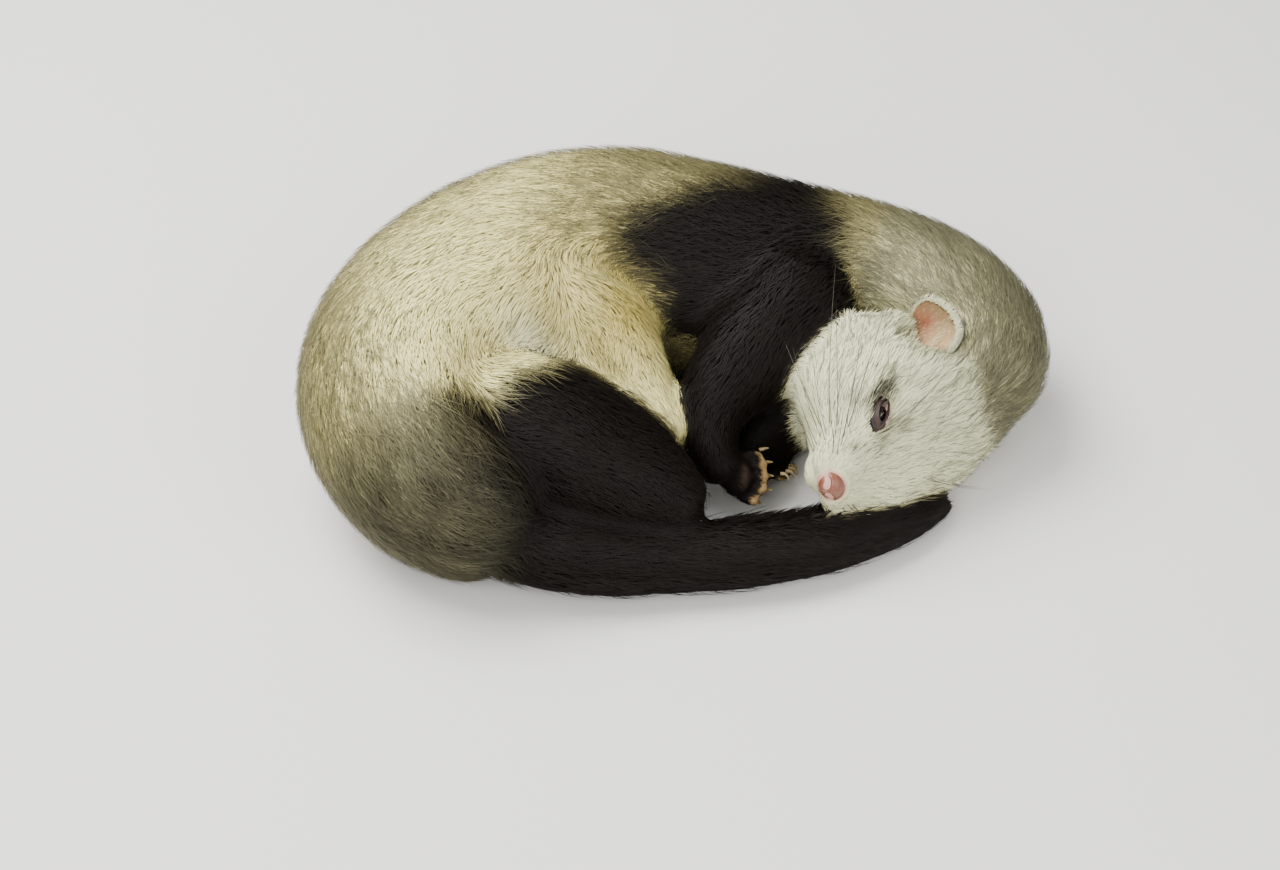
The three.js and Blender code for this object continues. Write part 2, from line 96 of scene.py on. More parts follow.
level = np.array([math.sin(HEAD_TURN), math.cos(HEAD_TURN), 0.0])
sideways = np.cross(level, [0, 0, 1])
BACK = turned(level, sideways, -HEAD_PITCH)
CROWN = turned(sideways, BACK, -HEAD_ROLL)
FORWARD = -BACK
LEFT = np.cross(CROWN, FORWARD)
HEAD_AXES = np.array([FORWARD, LEFT, CROWN])


def from_head(offsets):
    """A direction given forward, left and towards the crown, in the part's frame."""
    return np.asarray(offsets, float) @ HEAD_AXES


def on_head(x, y, z):
    """A place given from the nose tip, in millimetres, in the part's frame before it is centred."""
    return NOSE_TIP + from_head((x, y, z))


EYE_AT = {side: on_head(-22.5, -side * 11.6, 8.4) for side in (1, -1)}
EYE_RADIUS = 3.6
low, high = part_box("eye_right")
SHIFT = np.array((low + high) / 2) / MM - EYE_AT[1]  # how far the part was moved to centre its box


def eye_axes(side):
    """Along the slit of the lids, across it, and out of the eye."""
    out = np.array([0.36, -side * 0.78, 0.5])
    out /= np.linalg.norm(out)
    slit = np.array([-0.88, -side * 0.44, -0.1])
    slit -= out * (slit @ out)
    slit /= np.linalg.norm(slit)
    return np.array([from_head(slit), from_head(np.cross(out, slit)), from_head(out)])


EAR_AT = {1: on_head(-51.5, -24.8, 14.9), -1: on_head(-51, 20, 8.5)}
EAR_HALF = np.array([9.4, 8.2, 6.2])  # half sizes of a cup: along its foot, from foot to top, deep
EAR_PRESS = {1: np.ones(3), -1: np.array([1, 1, 0.5])}  # the ear that the head rests on is pressed flat


def ear_axes(side):
    """Along the foot of an ear, from its foot to its top, and out of its cup."""
    out = unit(np.array([0.757, -side * 0.652, 0.053]))
    rise = np.array([-0.575, -side * 0.625, 0.528])
    rise = unit(rise - out * (rise @ out))
    foot = np.array([0.311, side * 0.43, 0.848])
    foot -= out * (foot @ out) + rise * (foot @ rise)
    return np.array([from_head(unit(foot)), from_head(rise), from_head(out)])


# Centre lines, each in the way its hair lies, with the coat's rough radius at each station
HEAD_RADII = ((0, 4), (3, 6), (7, 9), (13, 13), (20, 17), (27, 22), (36, 27), (45, 29.5), (56, 31), (66, 31))
LINES = {
    "body": (
        ((91, -6, 27), 23), ((91, 8, 29), 24), ((82, 20, 31), 27), ((66, 28, 33), 29),
        ((44, 32, 34.5), 31), ((18, 36, 35.5), 34), ((-10, 38, 36), 36), ((-36, 26, 36), 37),
        ((-54, 5, 36), 37), ((-62, -15, 36), 34), ((-61, -33, 34.5), 31), ((-55, -46, 32.5), 28),
        ((-45, -55, 29), 22),
    ),
    "head": tuple((tuple(on_head(-back, 0, 0)), radius) for back, radius in HEAD_RADII),
    "foreleg_right": (
        ((50, 14, 46), 19), ((39, 0, 42), 18), ((27, -12, 36), 14), ((21, -20, 29.5), 11),
        ((20.5, -26.5, 22.5), 8.4), ((23.5, -30, 16), 7), ((34, -30.5, 14), 7),
    ),
    "foreleg_left": (((54, 6, 17), 14), ((43, -5, 13), 12), ((34, -13, 10), 9.5), ((32, -20, 7.5), 7.5), ((46, -23, 6.5), 7)),
    "hindleg_right": (
        ((-54, -31, 38), 21), ((-37, -33, 37.5), 22), ((-17, -39, 34), 20), ((1, -45, 28), 15),
        ((11, -49, 22), 11),
    ),
    "fold": (((-26, 17, 50), 15), ((-10, 3, 45), 13), ((-1, -11, 39), 10.5), ((7, -26, 29), 7)),
    "shank_right": (((10, -45, 17), 9.5), ((-8, -46, 13.5), 9), ((-24, -47, 11), 7.5), ((-33, -48, 9), 7)),
    "foot_right": (((-22, -49, 7), 7), ((-4, -49, 7), 7), ((12, -48.5, 7), 7)),
    "hindleg_left": (((-40, -24, 15), 15), ((-20, -28, 14), 14), ((0, -30, 12), 11)),
    "foot_left": (((-24, -38, 6), 6.5), ((-6, -38, 6), 6.5), ((6, -38, 6), 6.5)),
    "tail": (
        ((-47, -54.5, 25.5), 13.5), ((-33, -59.5, 18.5), 13.3), ((-12, -61.5, 13.4), 12), ((10, -60.4, 11.2), 10.7),
        ((32, -58.5, 10.6), 10), ((53, -53.5, 10), 9.4), ((69, -46, 8.9), 8.4), ((80, -40.5, 7.6), 6.6), ((90, -34.5, 5.6), 3.6),
    ),
}
LINE_NAMES = tuple(LINES)

# Paws: where the wrist or heel is, the ways they point and their soles face, width and length
PAWS = {
    "forepaw_right": dict(root=(25.5, -31, 14.2), forward=(1, 0.02, -0.03), sole=(0, -0.8, 0.6), width=15.5, length=13.5),
    "forepaw_left": dict(root=(32, -20, 6.5), forward=(1, -0.15, 0), sole=(0, -0.5, -0.8), width=15, length=15),
    "hindpaw_right": dict(root=(-14, -49, 7), forward=(1, 0.02, 0), sole=(0, -0.9, -0.4), width=15, length=26),
    "hindpaw_left": dict(root=(-20, -38, 6), forward=(1, 0, 0), sole=(0, -0.5, -0.8), width=14, length=26),
}


def eased(low_end, high_end, x):
    """Zero below the low end, one above the high one, and smooth between."""
    t = np.clip((x - low_end) / (high_end - low_end), 0, 1)
    return t * t * (3 - 2 * t)


def ripple(points, size, seed):
    """A soft seeded field of waves about size millimetres long, roughly from -1 to 1."""
    rng = np.random.default_rng(seed)
    total = np.zeros(len(points))
    for _ in range(7):
        first, second = unit(rng.normal(size=(2, 3)))
        number = 2 * math.pi / size * rng.uniform(0.7, 1.4)
        bend = 1.5 * np.sin(points @ second * number * 0.6 + rng.uniform(0, 6.3))
        total += np.sin(points @ first * number + rng.uniform(0, 6.3) + bend)
    return np.clip(total / 4, -1.3, 1.3)


def smooth_line(rows, steps):
    """A Catmull-Rom curve through rows of numbers, as the part draws its own lines."""
    rows = np.asarray(rows, float)
    padded = np.vstack([2 * rows[0] - rows[1], rows, 2 * rows[-1] - rows[-2]])
    x = np.linspace(0, len(rows) - 1, steps)
    i = np.minimum(x.astype(int), len(rows) - 2)
    t = (x - i)[:, None]
    before, a, b, after = (padded[i + k] for k in range(4))
    square = 2 * before - 5 * a + 4 * b - after
    cube = 3 * (a - b) + after - before
    return a + 0.5 * t * (b - before + t * (square + t * cube))


def line_fields(points):
    """For each place, in the part's frame: its nearest line, share along it, and the line's way."""
    best = np.full(len(points), 1e9)
    which = np.zeros(len(points), int)
    share = np.zeros(len(points))
    away = np.zeros(len(points))
    way = np.zeros((len(points), 3))
    for number, name in enumerate(LINE_NAMES):
        rows = [(*place, radius) for place, radius in LINES[name]]
        course = smooth_line(rows, 12 * len(rows))
        tangents = unit(np.gradient(course[:, :3], axis=0))
        for start in range(0, len(points), 20000):
            part = slice(start, start + 20000)
            gap = np.linalg.norm(points[part, None] - course[None, :, :3], axis=2)
            ratio = gap / course[None, :, 3]
            at = ratio.argmin(1)
            value = ratio[np.arange(len(at)), at]
            closer = value < best[part]
            best[part] = np.where(closer, value, best[part])
            which[part] = np.where(closer, number, which[part])
            share[part] = np.where(closer, at / (len(course) - 1), share[part])
            away[part] = np.where(closer, gap[np.arange(len(at)), at], away[part])
            way[part] = np.where(closer[:, None], tangents[at], way[part])
    return which, share, away, way


def round_angle(points, share):
    """The angle round the body's line, in degrees: 0 on the back, 90 on the flank that shows."""
    course = smooth_line([place for place, _ in LINES["body"]], 240)
    tangents = -unit(np.gradient(course, axis=0))
    inward = np.array([-2.0, -8.0, 0.0])
    backs = unit(course - inward) * [1, 1, 0]
    backs = unit(backs - tangents * (backs * tangents).sum(1, keepdims=True))
    at = np.clip((share * 239).astype(int), 0, 239)
    offset = points - course[at]
    rights = np.cross(tangents[at], backs[at])
    return np.degrees(np.arctan2((offset * rights).sum(1), (offset * backs[at]).sum(1)))


# Edges of the markings, in millimetres in the part's frame or shares along the body from the rump
SHOULDER_ANGLES = (-180, -120, -60, 0, 40, 75, 92, 108, 125, 140, 155, 176, 180)
SHOULDER_REAR = (0.60, 0.61, 0.63, 0.65, 0.63, 0.61, 0.575, 0.535, 0.513, 0.54, 0.567, 0.571, 0.58)
SHOULDER_FRONT = (0.76, 0.75, 0.73, 0.71, 0.72, 0.735, 0.745, 0.75, 0.755, 0.76, 0.76, 0.76, 0.76)
THIGH_EDGE = (
    (-55.7, -83.3), (-51.1, -61.3), (-49.1, -52.3), (-47.7, -40.3), (-40.7, -32.3), (-33.7, -28.3), (-28.7, -16.3),
    (-22.7, -10.8), (-17.4, -11.5), (-11.7, -14.6), (-4.3, -21.3), (2.9, -27.3), (10.1, -30.6), (17.3, -32.7),
    (24.3, -34.3), (33.3, -36.3),
)
# Grey-brown marks on the face, darker hair that is partly painted shade: those by the whisker pads and eye stand partly
# for the whisker bed's shade, and the last three, at the front edge of the right ear, are dark hairs with a painted
# shadow beside the ear. Each: forward, left and crownwards from the nose tip, how wide, how strong
FACE_DARK_HAIR_AND_SHADE = (
    ((-17.2, -16.8, 3.7), 3.2, 0.7), ((-15.1, -6.1, 10.4), 2.6, 0.65), ((-8.5, -8.2, 5.6), 2.0, 0.45),
    ((-21.3, -8.7, 13.4), 2.6, 0.55), ((-28.0, -19.0, 9.6), 2.6, 0.5), ((-43.5, -20.5, 20.5), 2.8, 0.9),
    ((-41.5, -25.5, 15.5), 3.4, 0.8), ((-43.0, -28.5, 9.5), 3.6, 0.6),
)


def markings(points, which, share):
    """How dark, white and golden-tan the coat is at each place, and how many dark guard hairs cross it; some of the
    dark and tan is painted shade and some of the white painted light, where the comments below say.
    """
    x, y, z = points.T
    name = np.array(LINE_NAMES)[which]
    on_body, on_face, on_fold = name == "body", name == "head", name == "fold"
    from_rump = np.where(on_body, 1 - share, 0)
    angle = round_angle(points, np.where(on_body, share, 0))
    wobble = ripple(points, 14, 11) * 0.6 + ripple(points, 5, 12) * 0.4

    rear = np.interp(angle, SHOULDER_ANGLES, SHOULDER_REAR)
    front = np.interp(angle, SHOULDER_ANGLES, SHOULDER_FRONT)
    shade = wobble * 0.010
    soft = np.interp(angle, (50, 100, 140), (0.07, 0.045, 0.018))
    shoulder = eased(rear - soft, rear + soft * 0.8, from_rump + shade)
    shoulder *= 1 - eased(front - 0.03, front + 0.03, from_rump - shade)
    shoulder = np.where(on_body, shoulder, 0)

    edge = np.interp(x, *np.array(THIGH_EDGE).T)
    edge = np.where(x < -46, np.maximum(edge, np.interp(x, (-80, -66, -52), (-60, -45, -36))), edge)
    thigh = eased(-4, 4, edge - y + wobble * 2.5) * eased(-88, -38, x + 0.15 * (y + 50) + wobble * 6)
    tail_root = eased(-58, -76, y + wobble * 4) * eased(-78, -52, x)
    thigh = np.maximum(thigh, tail_root)
    thigh *= np.where(on_body | on_fold, eased(41, 23, x) * eased(-1, -11, y), 1)
    dark = np.where(on_body | on_fold | (name == "hindleg_right"), np.maximum(shoulder, thigh), 0)
    limbs = ("foreleg_right", "foreleg_left", "hindleg_left", "shank_right", "foot_right", "foot_left", "tail")
    dark = np.where(np.isin(name, limbs), 1, dark)
    dark = np.where((name == "tail") & (share < 0.12), np.maximum(0.7, thigh), dark)

    neck = np.where(on_body, eased(0.755, 0.80, from_rump), 0)
    band = np.where(on_body, eased(0.755, 0.775, from_rump) * eased(0.83, 0.79, from_rump), 0)
    band *= eased(95, 112, angle) * eased(150, 125, angle)
    white = np.where(on_face, eased(0.98, 0.8, share) * 0.3 + 0.7, neck * 0.6)
    # A pale patch at the crest where the flank meets the thigh: pale tufts there, painted lighter still as a highlight
    # on them
    patch = np.exp(-(((x + 30) / 8) ** 2 + ((y + 8) / 6) ** 2)) * np.where(on_body | on_fold, 1, 0)
    white = np.maximum(white, patch * 0.9)
    # The low rump goes greyer and darker: partly its own grizzled hair, partly painted shade towards the bottom of the
    # rump
    low_rump_grizzle_and_shade = np.where(on_body, eased(-30, -62, y + wobble * 4) * eased(-20, -48, x), 0)
    white = np.maximum(white, low_rump_grizzle_and_shade * 0.45)
    dark = np.maximum(dark, low_rump_grizzle_and_shade * (0.64 + 0.3 * wobble))
    dark = np.maximum(dark, band * (0.5 + 0.2 * wobble))
    dark = np.maximum(dark, np.where(on_body, neck * 0.12, 0))

    behind = np.where(on_body, eased(rear - 0.17, rear - 0.02, from_rump) * eased(150, 100, angle), 0)
    dark = np.maximum(dark, behind * eased(100, 60, angle) * 0.35)
    left_side = np.where(on_body, eased(-62, -98, x), 0)
    outline = np.where(on_body, eased(70, 20, np.abs(angle - 10)) * 0.3, 0)
    guard = np.maximum.reduce([behind * 0.8, left_side * 0.8, outline * 1.3, low_rump_grizzle_and_shade * 1.0, band * 0.9, neck * 0.45])
    guard = np.maximum(guard, np.where(on_body | (name == "hindleg_right"), 4 * dark * (1 - dark), 0))
    guard = np.maximum(guard, np.where(on_face, 0.05 + eased(0.5, 0.95, share) * 0.3, 0.04))
    head = (points - NOSE_TIP) @ HEAD_AXES.T
    # Darker hair and dark guard hairs on the face, partly painted shade by the whisker pads and beside the right ear
    for place, wide, strength in FACE_DARK_HAIR_AND_SHADE:
        near = np.exp(-(((head - place) ** 2).sum(1)) / wide**2) * strength
        dark = np.where(on_face, np.maximum(dark, near), dark)
        guard = np.where(on_face, np.maximum(guard, near), guard)
    local = lid_place(points, 1)
    lids = np.linalg.norm((local - [0.9, 0.5, 0]) / (7.0, 3.6, 14), axis=1)
    dark = np.where(on_face, np.maximum(dark, eased(1.08, 0.9, lids) * 0.8 * eased(-3.5, 0, local[:, 1])), dark)

    # Painted shade in the crease where the flank folds against the thigh: the coat there is painted golden tan, with a
    # little tone at random from the wobble
    fold_crease_shade = np.exp(-(((x + 6) / 20) ** 2 + ((y - 1) / 20) ** 2 + ((z - 54) / 20) ** 2))
    gold_and_shade = np.clip(fold_crease_shade * 0.95 + eased(0, 1, wobble) * 0.12, 0, 1) * np.where(on_body | on_fold, 1, 0)
    # Painted light: the middle of the flank is painted the lightest cream, as a pool of light, and the coat round it
    # goes a little duller and more golden, as painted shade
    painted_light_pool = np.exp(-(((x + 58) / 30) ** 2 + ((y - 8) / 34) ** 2 + ((z - 66) / 30) ** 2))
    gold_and_shade = np.where(on_body, np.clip(gold_and_shade + 0.22 * (1 - painted_light_pool), 0, 1), gold_and_shade)
    return {"dark": np.clip(dark, 0, 1), "white": white, "gold_and_shade": gold_and_shade, "grizzle": np.clip(guard, 0, 1)}


def linear(code):
    """A hex sRGB colour as the linear one that Blender's sockets take."""
    parts = [int(code[i : i + 2], 16) / 255 for i in (1, 3, 5)]
    return (*[p / 12.92 if p <= 0.04045 else ((p + 0.055) / 1.055) ** 2.4 for p in parts], 1.0)


def add_node(tree, kind, settings=None, inputs=None):
    """Adds a node, sets its properties, and sets or links its inputs."""
    node = tree.nodes.new(kind)
    for key, value in (settings or {}).items():
        setattr(node, key, value)
    for key, value in (inputs or {}).items():
        if isinstance(value, bpy.types.NodeSocket):
            tree.links.new(value, node.inputs[key])
        else:
            node.inputs[key].default_value = value
    return node


def new_material(name):
    """An empty node material and its tree."""
    material = bpy.data.materials.new(name)
    material.use_nodes = True
    material.node_tree.nodes.clear()
    return material, material.node_tree


def finish_material(tree, shader):
    """Sends a shader to the material's output."""
    add_node(tree, "ShaderNodeOutputMaterial", inputs={"Surface": shader.outputs[0]})


def deselect():
    """Nothing stays selected, so that an operator acts on the new piece alone."""
    if bpy.context.mode != "OBJECT":
        bpy.ops.object.mode_set(mode="OBJECT")
    bpy.ops.object.select_all(action="DESELECT")


def make_active(*objects):
    """Selects these objects alone, the last of them active."""
    deselect()
    for one in objects:
        one.select_set(True)
    bpy.context.view_layer.objects.active = objects[-1]


def apply_modifier(piece, kind, **settings):
    """Adds a modifier with its settings and applies it."""
    make_active(piece)
    modifier = piece.modifiers.new(kind.title(), kind)
    for key, value in settings.items():
        setattr(modifier, key, value)
    bpy.ops.object.modifier_apply(modifier=modifier.name)


def places(mesh):
    """A mesh's points, in millimetres in the centred frame."""
    flat = np.empty(len(mesh.vertices) * 3, np.float32)
    mesh.vertices.foreach_get("co", flat)
    return flat.reshape(-1, 3).astype(float) / MM


def move_to(mesh, points):
    """Puts a mesh's points at these places, in millimetres."""
    mesh.vertices.foreach_set("co", (points * MM).astype(np.float32).ravel())
    mesh.update()


def point_normals(mesh):
    """The way each point of a mesh faces."""
    flat = np.empty(len(mesh.vertices) * 3, np.float32)
    mesh.vertex_normals.foreach_get("vector", flat)
    return flat.reshape(-1, 3).astype(float)


def edge_ends(mesh):
    """The two points of each edge."""
    flat = np.empty(len(mesh.edges) * 2, np.int32)
    mesh.edges.foreach_get("vertices", flat)
    return flat.reshape(-1, 2)


def averaged(values, edges, times, strength=0.5):
    """Values at a mesh's points, each drawn towards the mean of its neighbours."""
    values = np.array(values, float)
    columns = values.reshape(len(values), -1)
    ends, others = np.concatenate([edges, edges[:, ::-1]]).T
    count = np.maximum(np.bincount(ends, minlength=len(values)), 1)
    for _ in range(times):
        for k in range(columns.shape[1]):
            mean = np.bincount(ends, columns[others, k], len(values)) / count
            columns[:, k] += (mean - columns[:, k]) * strength
    return columns.reshape(values.shape)


def store(mesh, name, values, domain="POINT"):
    """Keeps a number or a vector at each point of a mesh, by name."""
    values = np.asarray(values, np.float32)
    kind = "FLOAT" if values.ndim == 1 else "FLOAT_VECTOR"
    layer = mesh.attributes.get(name) or mesh.attributes.new(name, kind, domain)
    layer.data.foreach_set("value" if values.ndim == 1 else "vector", values.ravel())


def fetch(mesh, name):
    """The numbers or vectors kept at a mesh's points by name."""
    layer = mesh.attributes[name]
    wide = 3 if layer.data_type == "FLOAT_VECTOR" else 1
    flat = np.empty(len(layer.data) * wide, np.float32)
    layer.data.foreach_get("vector" if wide == 3 else "value", flat)
    return flat.reshape(-1, 3).astype(float) if wide == 3 else flat.astype(float)


def triangles(mesh):
    """The three points of each triangle of a mesh."""
    mesh.calc_loop_triangles()
    flat = np.empty(len(mesh.loop_triangles) * 3, np.int32)
    mesh.loop_triangles.foreach_get("vertices", flat)
    return flat.reshape(-1, 3)


def piece_from(name, points, faces, material, smooth=True):
    """A new piece from points in millimetres and its triangles."""
    mesh = bpy.data.meshes.new(name)
    mesh.vertices.add(len(points))
    mesh.loops.add(faces.size)
    mesh.polygons.add(len(faces))
    mesh.vertices.foreach_set("co", (points * MM).astype(np.float32).ravel())
    mesh.polygons.foreach_set("loop_start", np.arange(0, faces.size, 3, dtype=np.int32))
    mesh.loops.foreach_set("vertex_index", faces.astype(np.int32).ravel())
    mesh.polygons.foreach_set("use_smooth", np.full(len(faces), smooth))
    mesh.update(calc_edges=True)
    mesh.materials.append(material)
    piece = bpy.data.objects.new(name, mesh)
    bpy.context.scene.collection.objects.link(piece)
    return piece


def settle(piece, name, material=None):
    """Names a finished piece, sets its place in its mesh, and rides it on the body."""
    make_active(piece)
    bpy.ops.object.transform_apply(location=True, rotation=True, scale=True)
    piece.name = name
    piece.data.name = name
    if material:
        piece.data.materials.clear()
        piece.data.materials.append(material)
    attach(piece, "root")
    return piece


def add_ball(centre, size, axes, segments=20, rings=12):
    """An ellipsoid primitive at its place, its three half sizes along its own axes."""
    deselect()
    bpy.ops.mesh.primitive_uv_sphere_add(segments=segments, ring_count=rings, radius=1)
    piece = bpy.context.object
    turn = Matrix(np.asarray(axes).T.tolist()).to_4x4()
    scale = Matrix.Diagonal((*[s * MM for s in size], 1))
    where = Vector(((np.asarray(centre) + SHIFT) * MM).tolist())
    piece.data.transform(Matrix.Translation(where) @ turn @ scale)
    return piece


def paw_axes(paw):
    """The ways a paw points, spreads and faces with its sole."""
    forward = unit(np.array(paw["forward"], float))
    sole = np.array(paw["sole"], float)
    sole = unit(sole - forward * (sole @ forward))
    return np.array([forward, np.cross(sole, forward), sole])


def paw_place(paw, x, y, z):
    """A place on a paw, forward, across and towards its sole from its root."""
    return np.array(paw["root"], float) + np.array([x, y, z]) @ paw_axes(paw)


def toe_reach(paw, number):
    """How far forward and across a toe's tip is, the inner toe being the short one."""
    share = (number - 2) / 2
    reach = paw["length"] * (0.86 - 0.12 * share * share - (0.12 if number == 0 else 0))
    return reach, share * paw["width"] * 0.46


def paw_flesh(paw):
    """A palm, five jointed toes and their pads, as balls that the skin is drawn over."""
    axes = paw_axes(paw)
    width, length = paw["width"], paw["length"]
    toe = width * 0.135
    made = [add_ball(paw_place(paw, length * 0.2, 0, 0), (length * 0.42, width * 0.44, width * 0.27), axes)]
    made.append(add_ball(paw_place(paw, length * 0.36, 0, width * 0.17), (length * 0.2, width * 0.3, width * 0.15), axes))
    for number in range(5):
        reach, spread = toe_reach(paw, number)
        for share, rise, size in ((0.5, -0.1, 1.0), (0.72, -0.35, 1.02), (0.9, -0.1, 0.98)):
            across = spread * (0.75 + 0.35 * share)
            centre = paw_place(paw, reach * share, across, rise * toe)
            made.append(add_ball(centre, (reach * 0.19, toe * size, toe * size), axes, 14, 8))
        pad = paw_place(paw, reach * 0.95, spread * 1.05, toe * 0.7)
        made.append(add_ball(pad, (toe * 1.1, toe * 0.95, toe * 0.85), axes, 14, 8))
    return made


def flesh_copy():
    """One mesh of all the solids' flesh, swollen a little so that their hairline gaps close."""
    copies = []
    for node in FLESH + ("nose", "eye_right", "eye_left"):
        copy = frame["nodes"][node].copy()
        copy.data = copy.data.copy()
        copy.parent = None
        for key in list(copy.keys()):
            del copy[key]
        bpy.context.scene.collection.objects.link(copy)
        make_active(copy)
        bpy.ops.object.mode_set(mode="EDIT")
        bpy.ops.mesh.select_all(action="SELECT")
        bpy.ops.mesh.remove_doubles(threshold=0.00001)
        bpy.ops.object.mode_set(mode="OBJECT")
        move_to(copy.data, places(copy.data) + point_normals(copy.data) * 0.45)
        copies.append(copy)
    for paw in PAWS.values():
        copies.extend(paw_flesh(paw))
    for side in (1, -1):
        # Fills the socket that the ear stands in, so that the skin closes over it
        copies.append(add_ball(EAR_AT[side], EAR_HALF * EAR_PRESS[side] + 1.0, ear_axes(side), 36, 24))
    make_active(*copies)
    bpy.ops.object.join()
    return bpy.context.object


def coat_depth(points, which, share, settings):
    """How deep the coat is over each place, before it is pressed against the floor."""
    depth = np.zeros(len(points))
    body, tail = settings.body_depth / MM, settings.tail_depth / MM
    for number, name in enumerate(LINE_NAMES):
        here = which == number
        along = share[here]
        if name == "body":
            depth[here] = body * np.interp(along, (0, 0.2, 0.4, 1), (0.75, 0.85, 1, 1))
        elif name == "head":
            back = along * HEAD_RADII[-1][0]
            depth[here] = np.interp(back, (0, 8, 16, 26, 40, 66), (0.4, 0.5, 0.8, 1.4, 2.4, 3.6))
        elif name == "tail":
            depth[here] = tail * np.interp(along, (0, 0.1, 0.7, 1), (0.8, 1, 0.85, 0.32))
        elif name.startswith("foot"):
            depth[here] = 0.7
        elif name == "shank_right":
            depth[here] = np.interp(along, (0, 1), (2.2, 1.4))
        elif name == "fold":
            depth[here] = body * np.interp(along, (0, 1), (1, 0.6))
        elif name == "foreleg_right":
            depth[here] = body * np.interp(along, (0, 0.3, 0.6, 0.8, 1), (0.95, 0.85, 0.5, 0.22, 0.1))
        elif name == "foreleg_left":
            depth[here] = body * np.interp(along, (0, 0.4, 0.7, 1), (0.8, 0.5, 0.22, 0.1))
        else:
            depth[here] = body * np.interp(along, (0, 0.5, 1), (0.9, 0.8, 0.5))
    return depth


def lid_place(points, side):
    """Places in the part's frame as seen from an eye: along the slit, across it and out."""
    return (points - EYE_AT[side]) @ eye_axes(side).T


LID_LENGTH, LID_WIDTH = 6.4, 3.3


def in_ear(points, side, grow=0.0):
    """Share of the way from an ear's middle to its outside, for places in the part's frame."""
    local = (points - EAR_AT[side]) @ ear_axes(side).T
    return np.linalg.norm(local / (EAR_HALF * EAR_PRESS[side] + grow), axis=1)


class SkinSettings(bpy.types.PropertyGroup):
    """Sizes and colours of the skin under the coat."""

    voxel: bpy.props.FloatProperty(name="Fineness", description="Size of the skin's faces", default=0.8 * MM, unit="LENGTH")
    body_depth: bpy.props.FloatProperty(name="Body coat", description="Depth of the coat on the body", default=4.2 * MM, unit="LENGTH")
    tail_depth: bpy.props.FloatProperty(name="Tail brush", description="Depth of the coat round the tail", default=2.6 * MM, unit="LENGTH")
    most_faces: bpy.props.IntProperty(name="Faces", description="Triangles kept on the skin", default=150000)


class CoatSettings(bpy.types.PropertyGroup):
    """Colours, density and lie of the coat."""

    cream: bpy.props.StringProperty(name="Cream", description="Tips of the body's hair", default="#fff4a6")
    # Golden tan tips; on the fold of the flank and round the flank's lit middle they are painted shade
    gold_and_shade: bpy.props.StringProperty(name="Gold", description="Tips on the fold of the flank", default="#a8964a")
    dark: bpy.props.StringProperty(name="Dark", description="Tips of the black-brown hair", default="#16100c")
    white: bpy.props.StringProperty(name="White", description="Hair of the face", default="#f0eec2")
    guard: bpy.props.StringProperty(name="Guard hairs", description="Outer part of the guard hairs", default="#0e0a07")
    density: bpy.props.FloatProperty(name="Density", description="Share of the full number of tufts", default=1.0)
    seed: bpy.props.IntProperty(name="Seed", description="Start of the coat's random numbers", default=7)


class FaceSettings(bpy.types.PropertyGroup):
    """Colours and sizes of the bare parts of the face."""

    nose: bpy.props.StringProperty(name="Nose", description="Moist leather of the nose", default="#8c563e")
    lid: bpy.props.StringProperty(name="Lids", description="Dark rims of the lids", default="#0d0608")
    pink: bpy.props.StringProperty(name="Bare skin", description="Skin inside the ears and on the muzzle", default="#d7a295")
    whisker_length: bpy.props.FloatProperty(name="Whiskers", description="Longest whisker", default=50 * MM, unit="LENGTH")
    slit: bpy.props.FloatProperty(name="Eye slit", description="Opening between the lids", default=1.9 * MM, unit="LENGTH")


class StageSettings(bpy.types.PropertyGroup):
    """Floor, camera and light."""

    floor: bpy.props.StringProperty(name="Floor", description="Plain pale floor", default="#e4e2de")
    lens: bpy.props.FloatProperty(name="Lens", description="Camera lens in millimetres", default=85.0)
    distance: bpy.props.FloatProperty(name="Distance", description="Camera to the middle of the floor", default=916 * MM, unit="LENGTH")
    key: bpy.props.FloatProperty(name="Key light", description="Power of the soft light", default=15.5, unit="POWER")


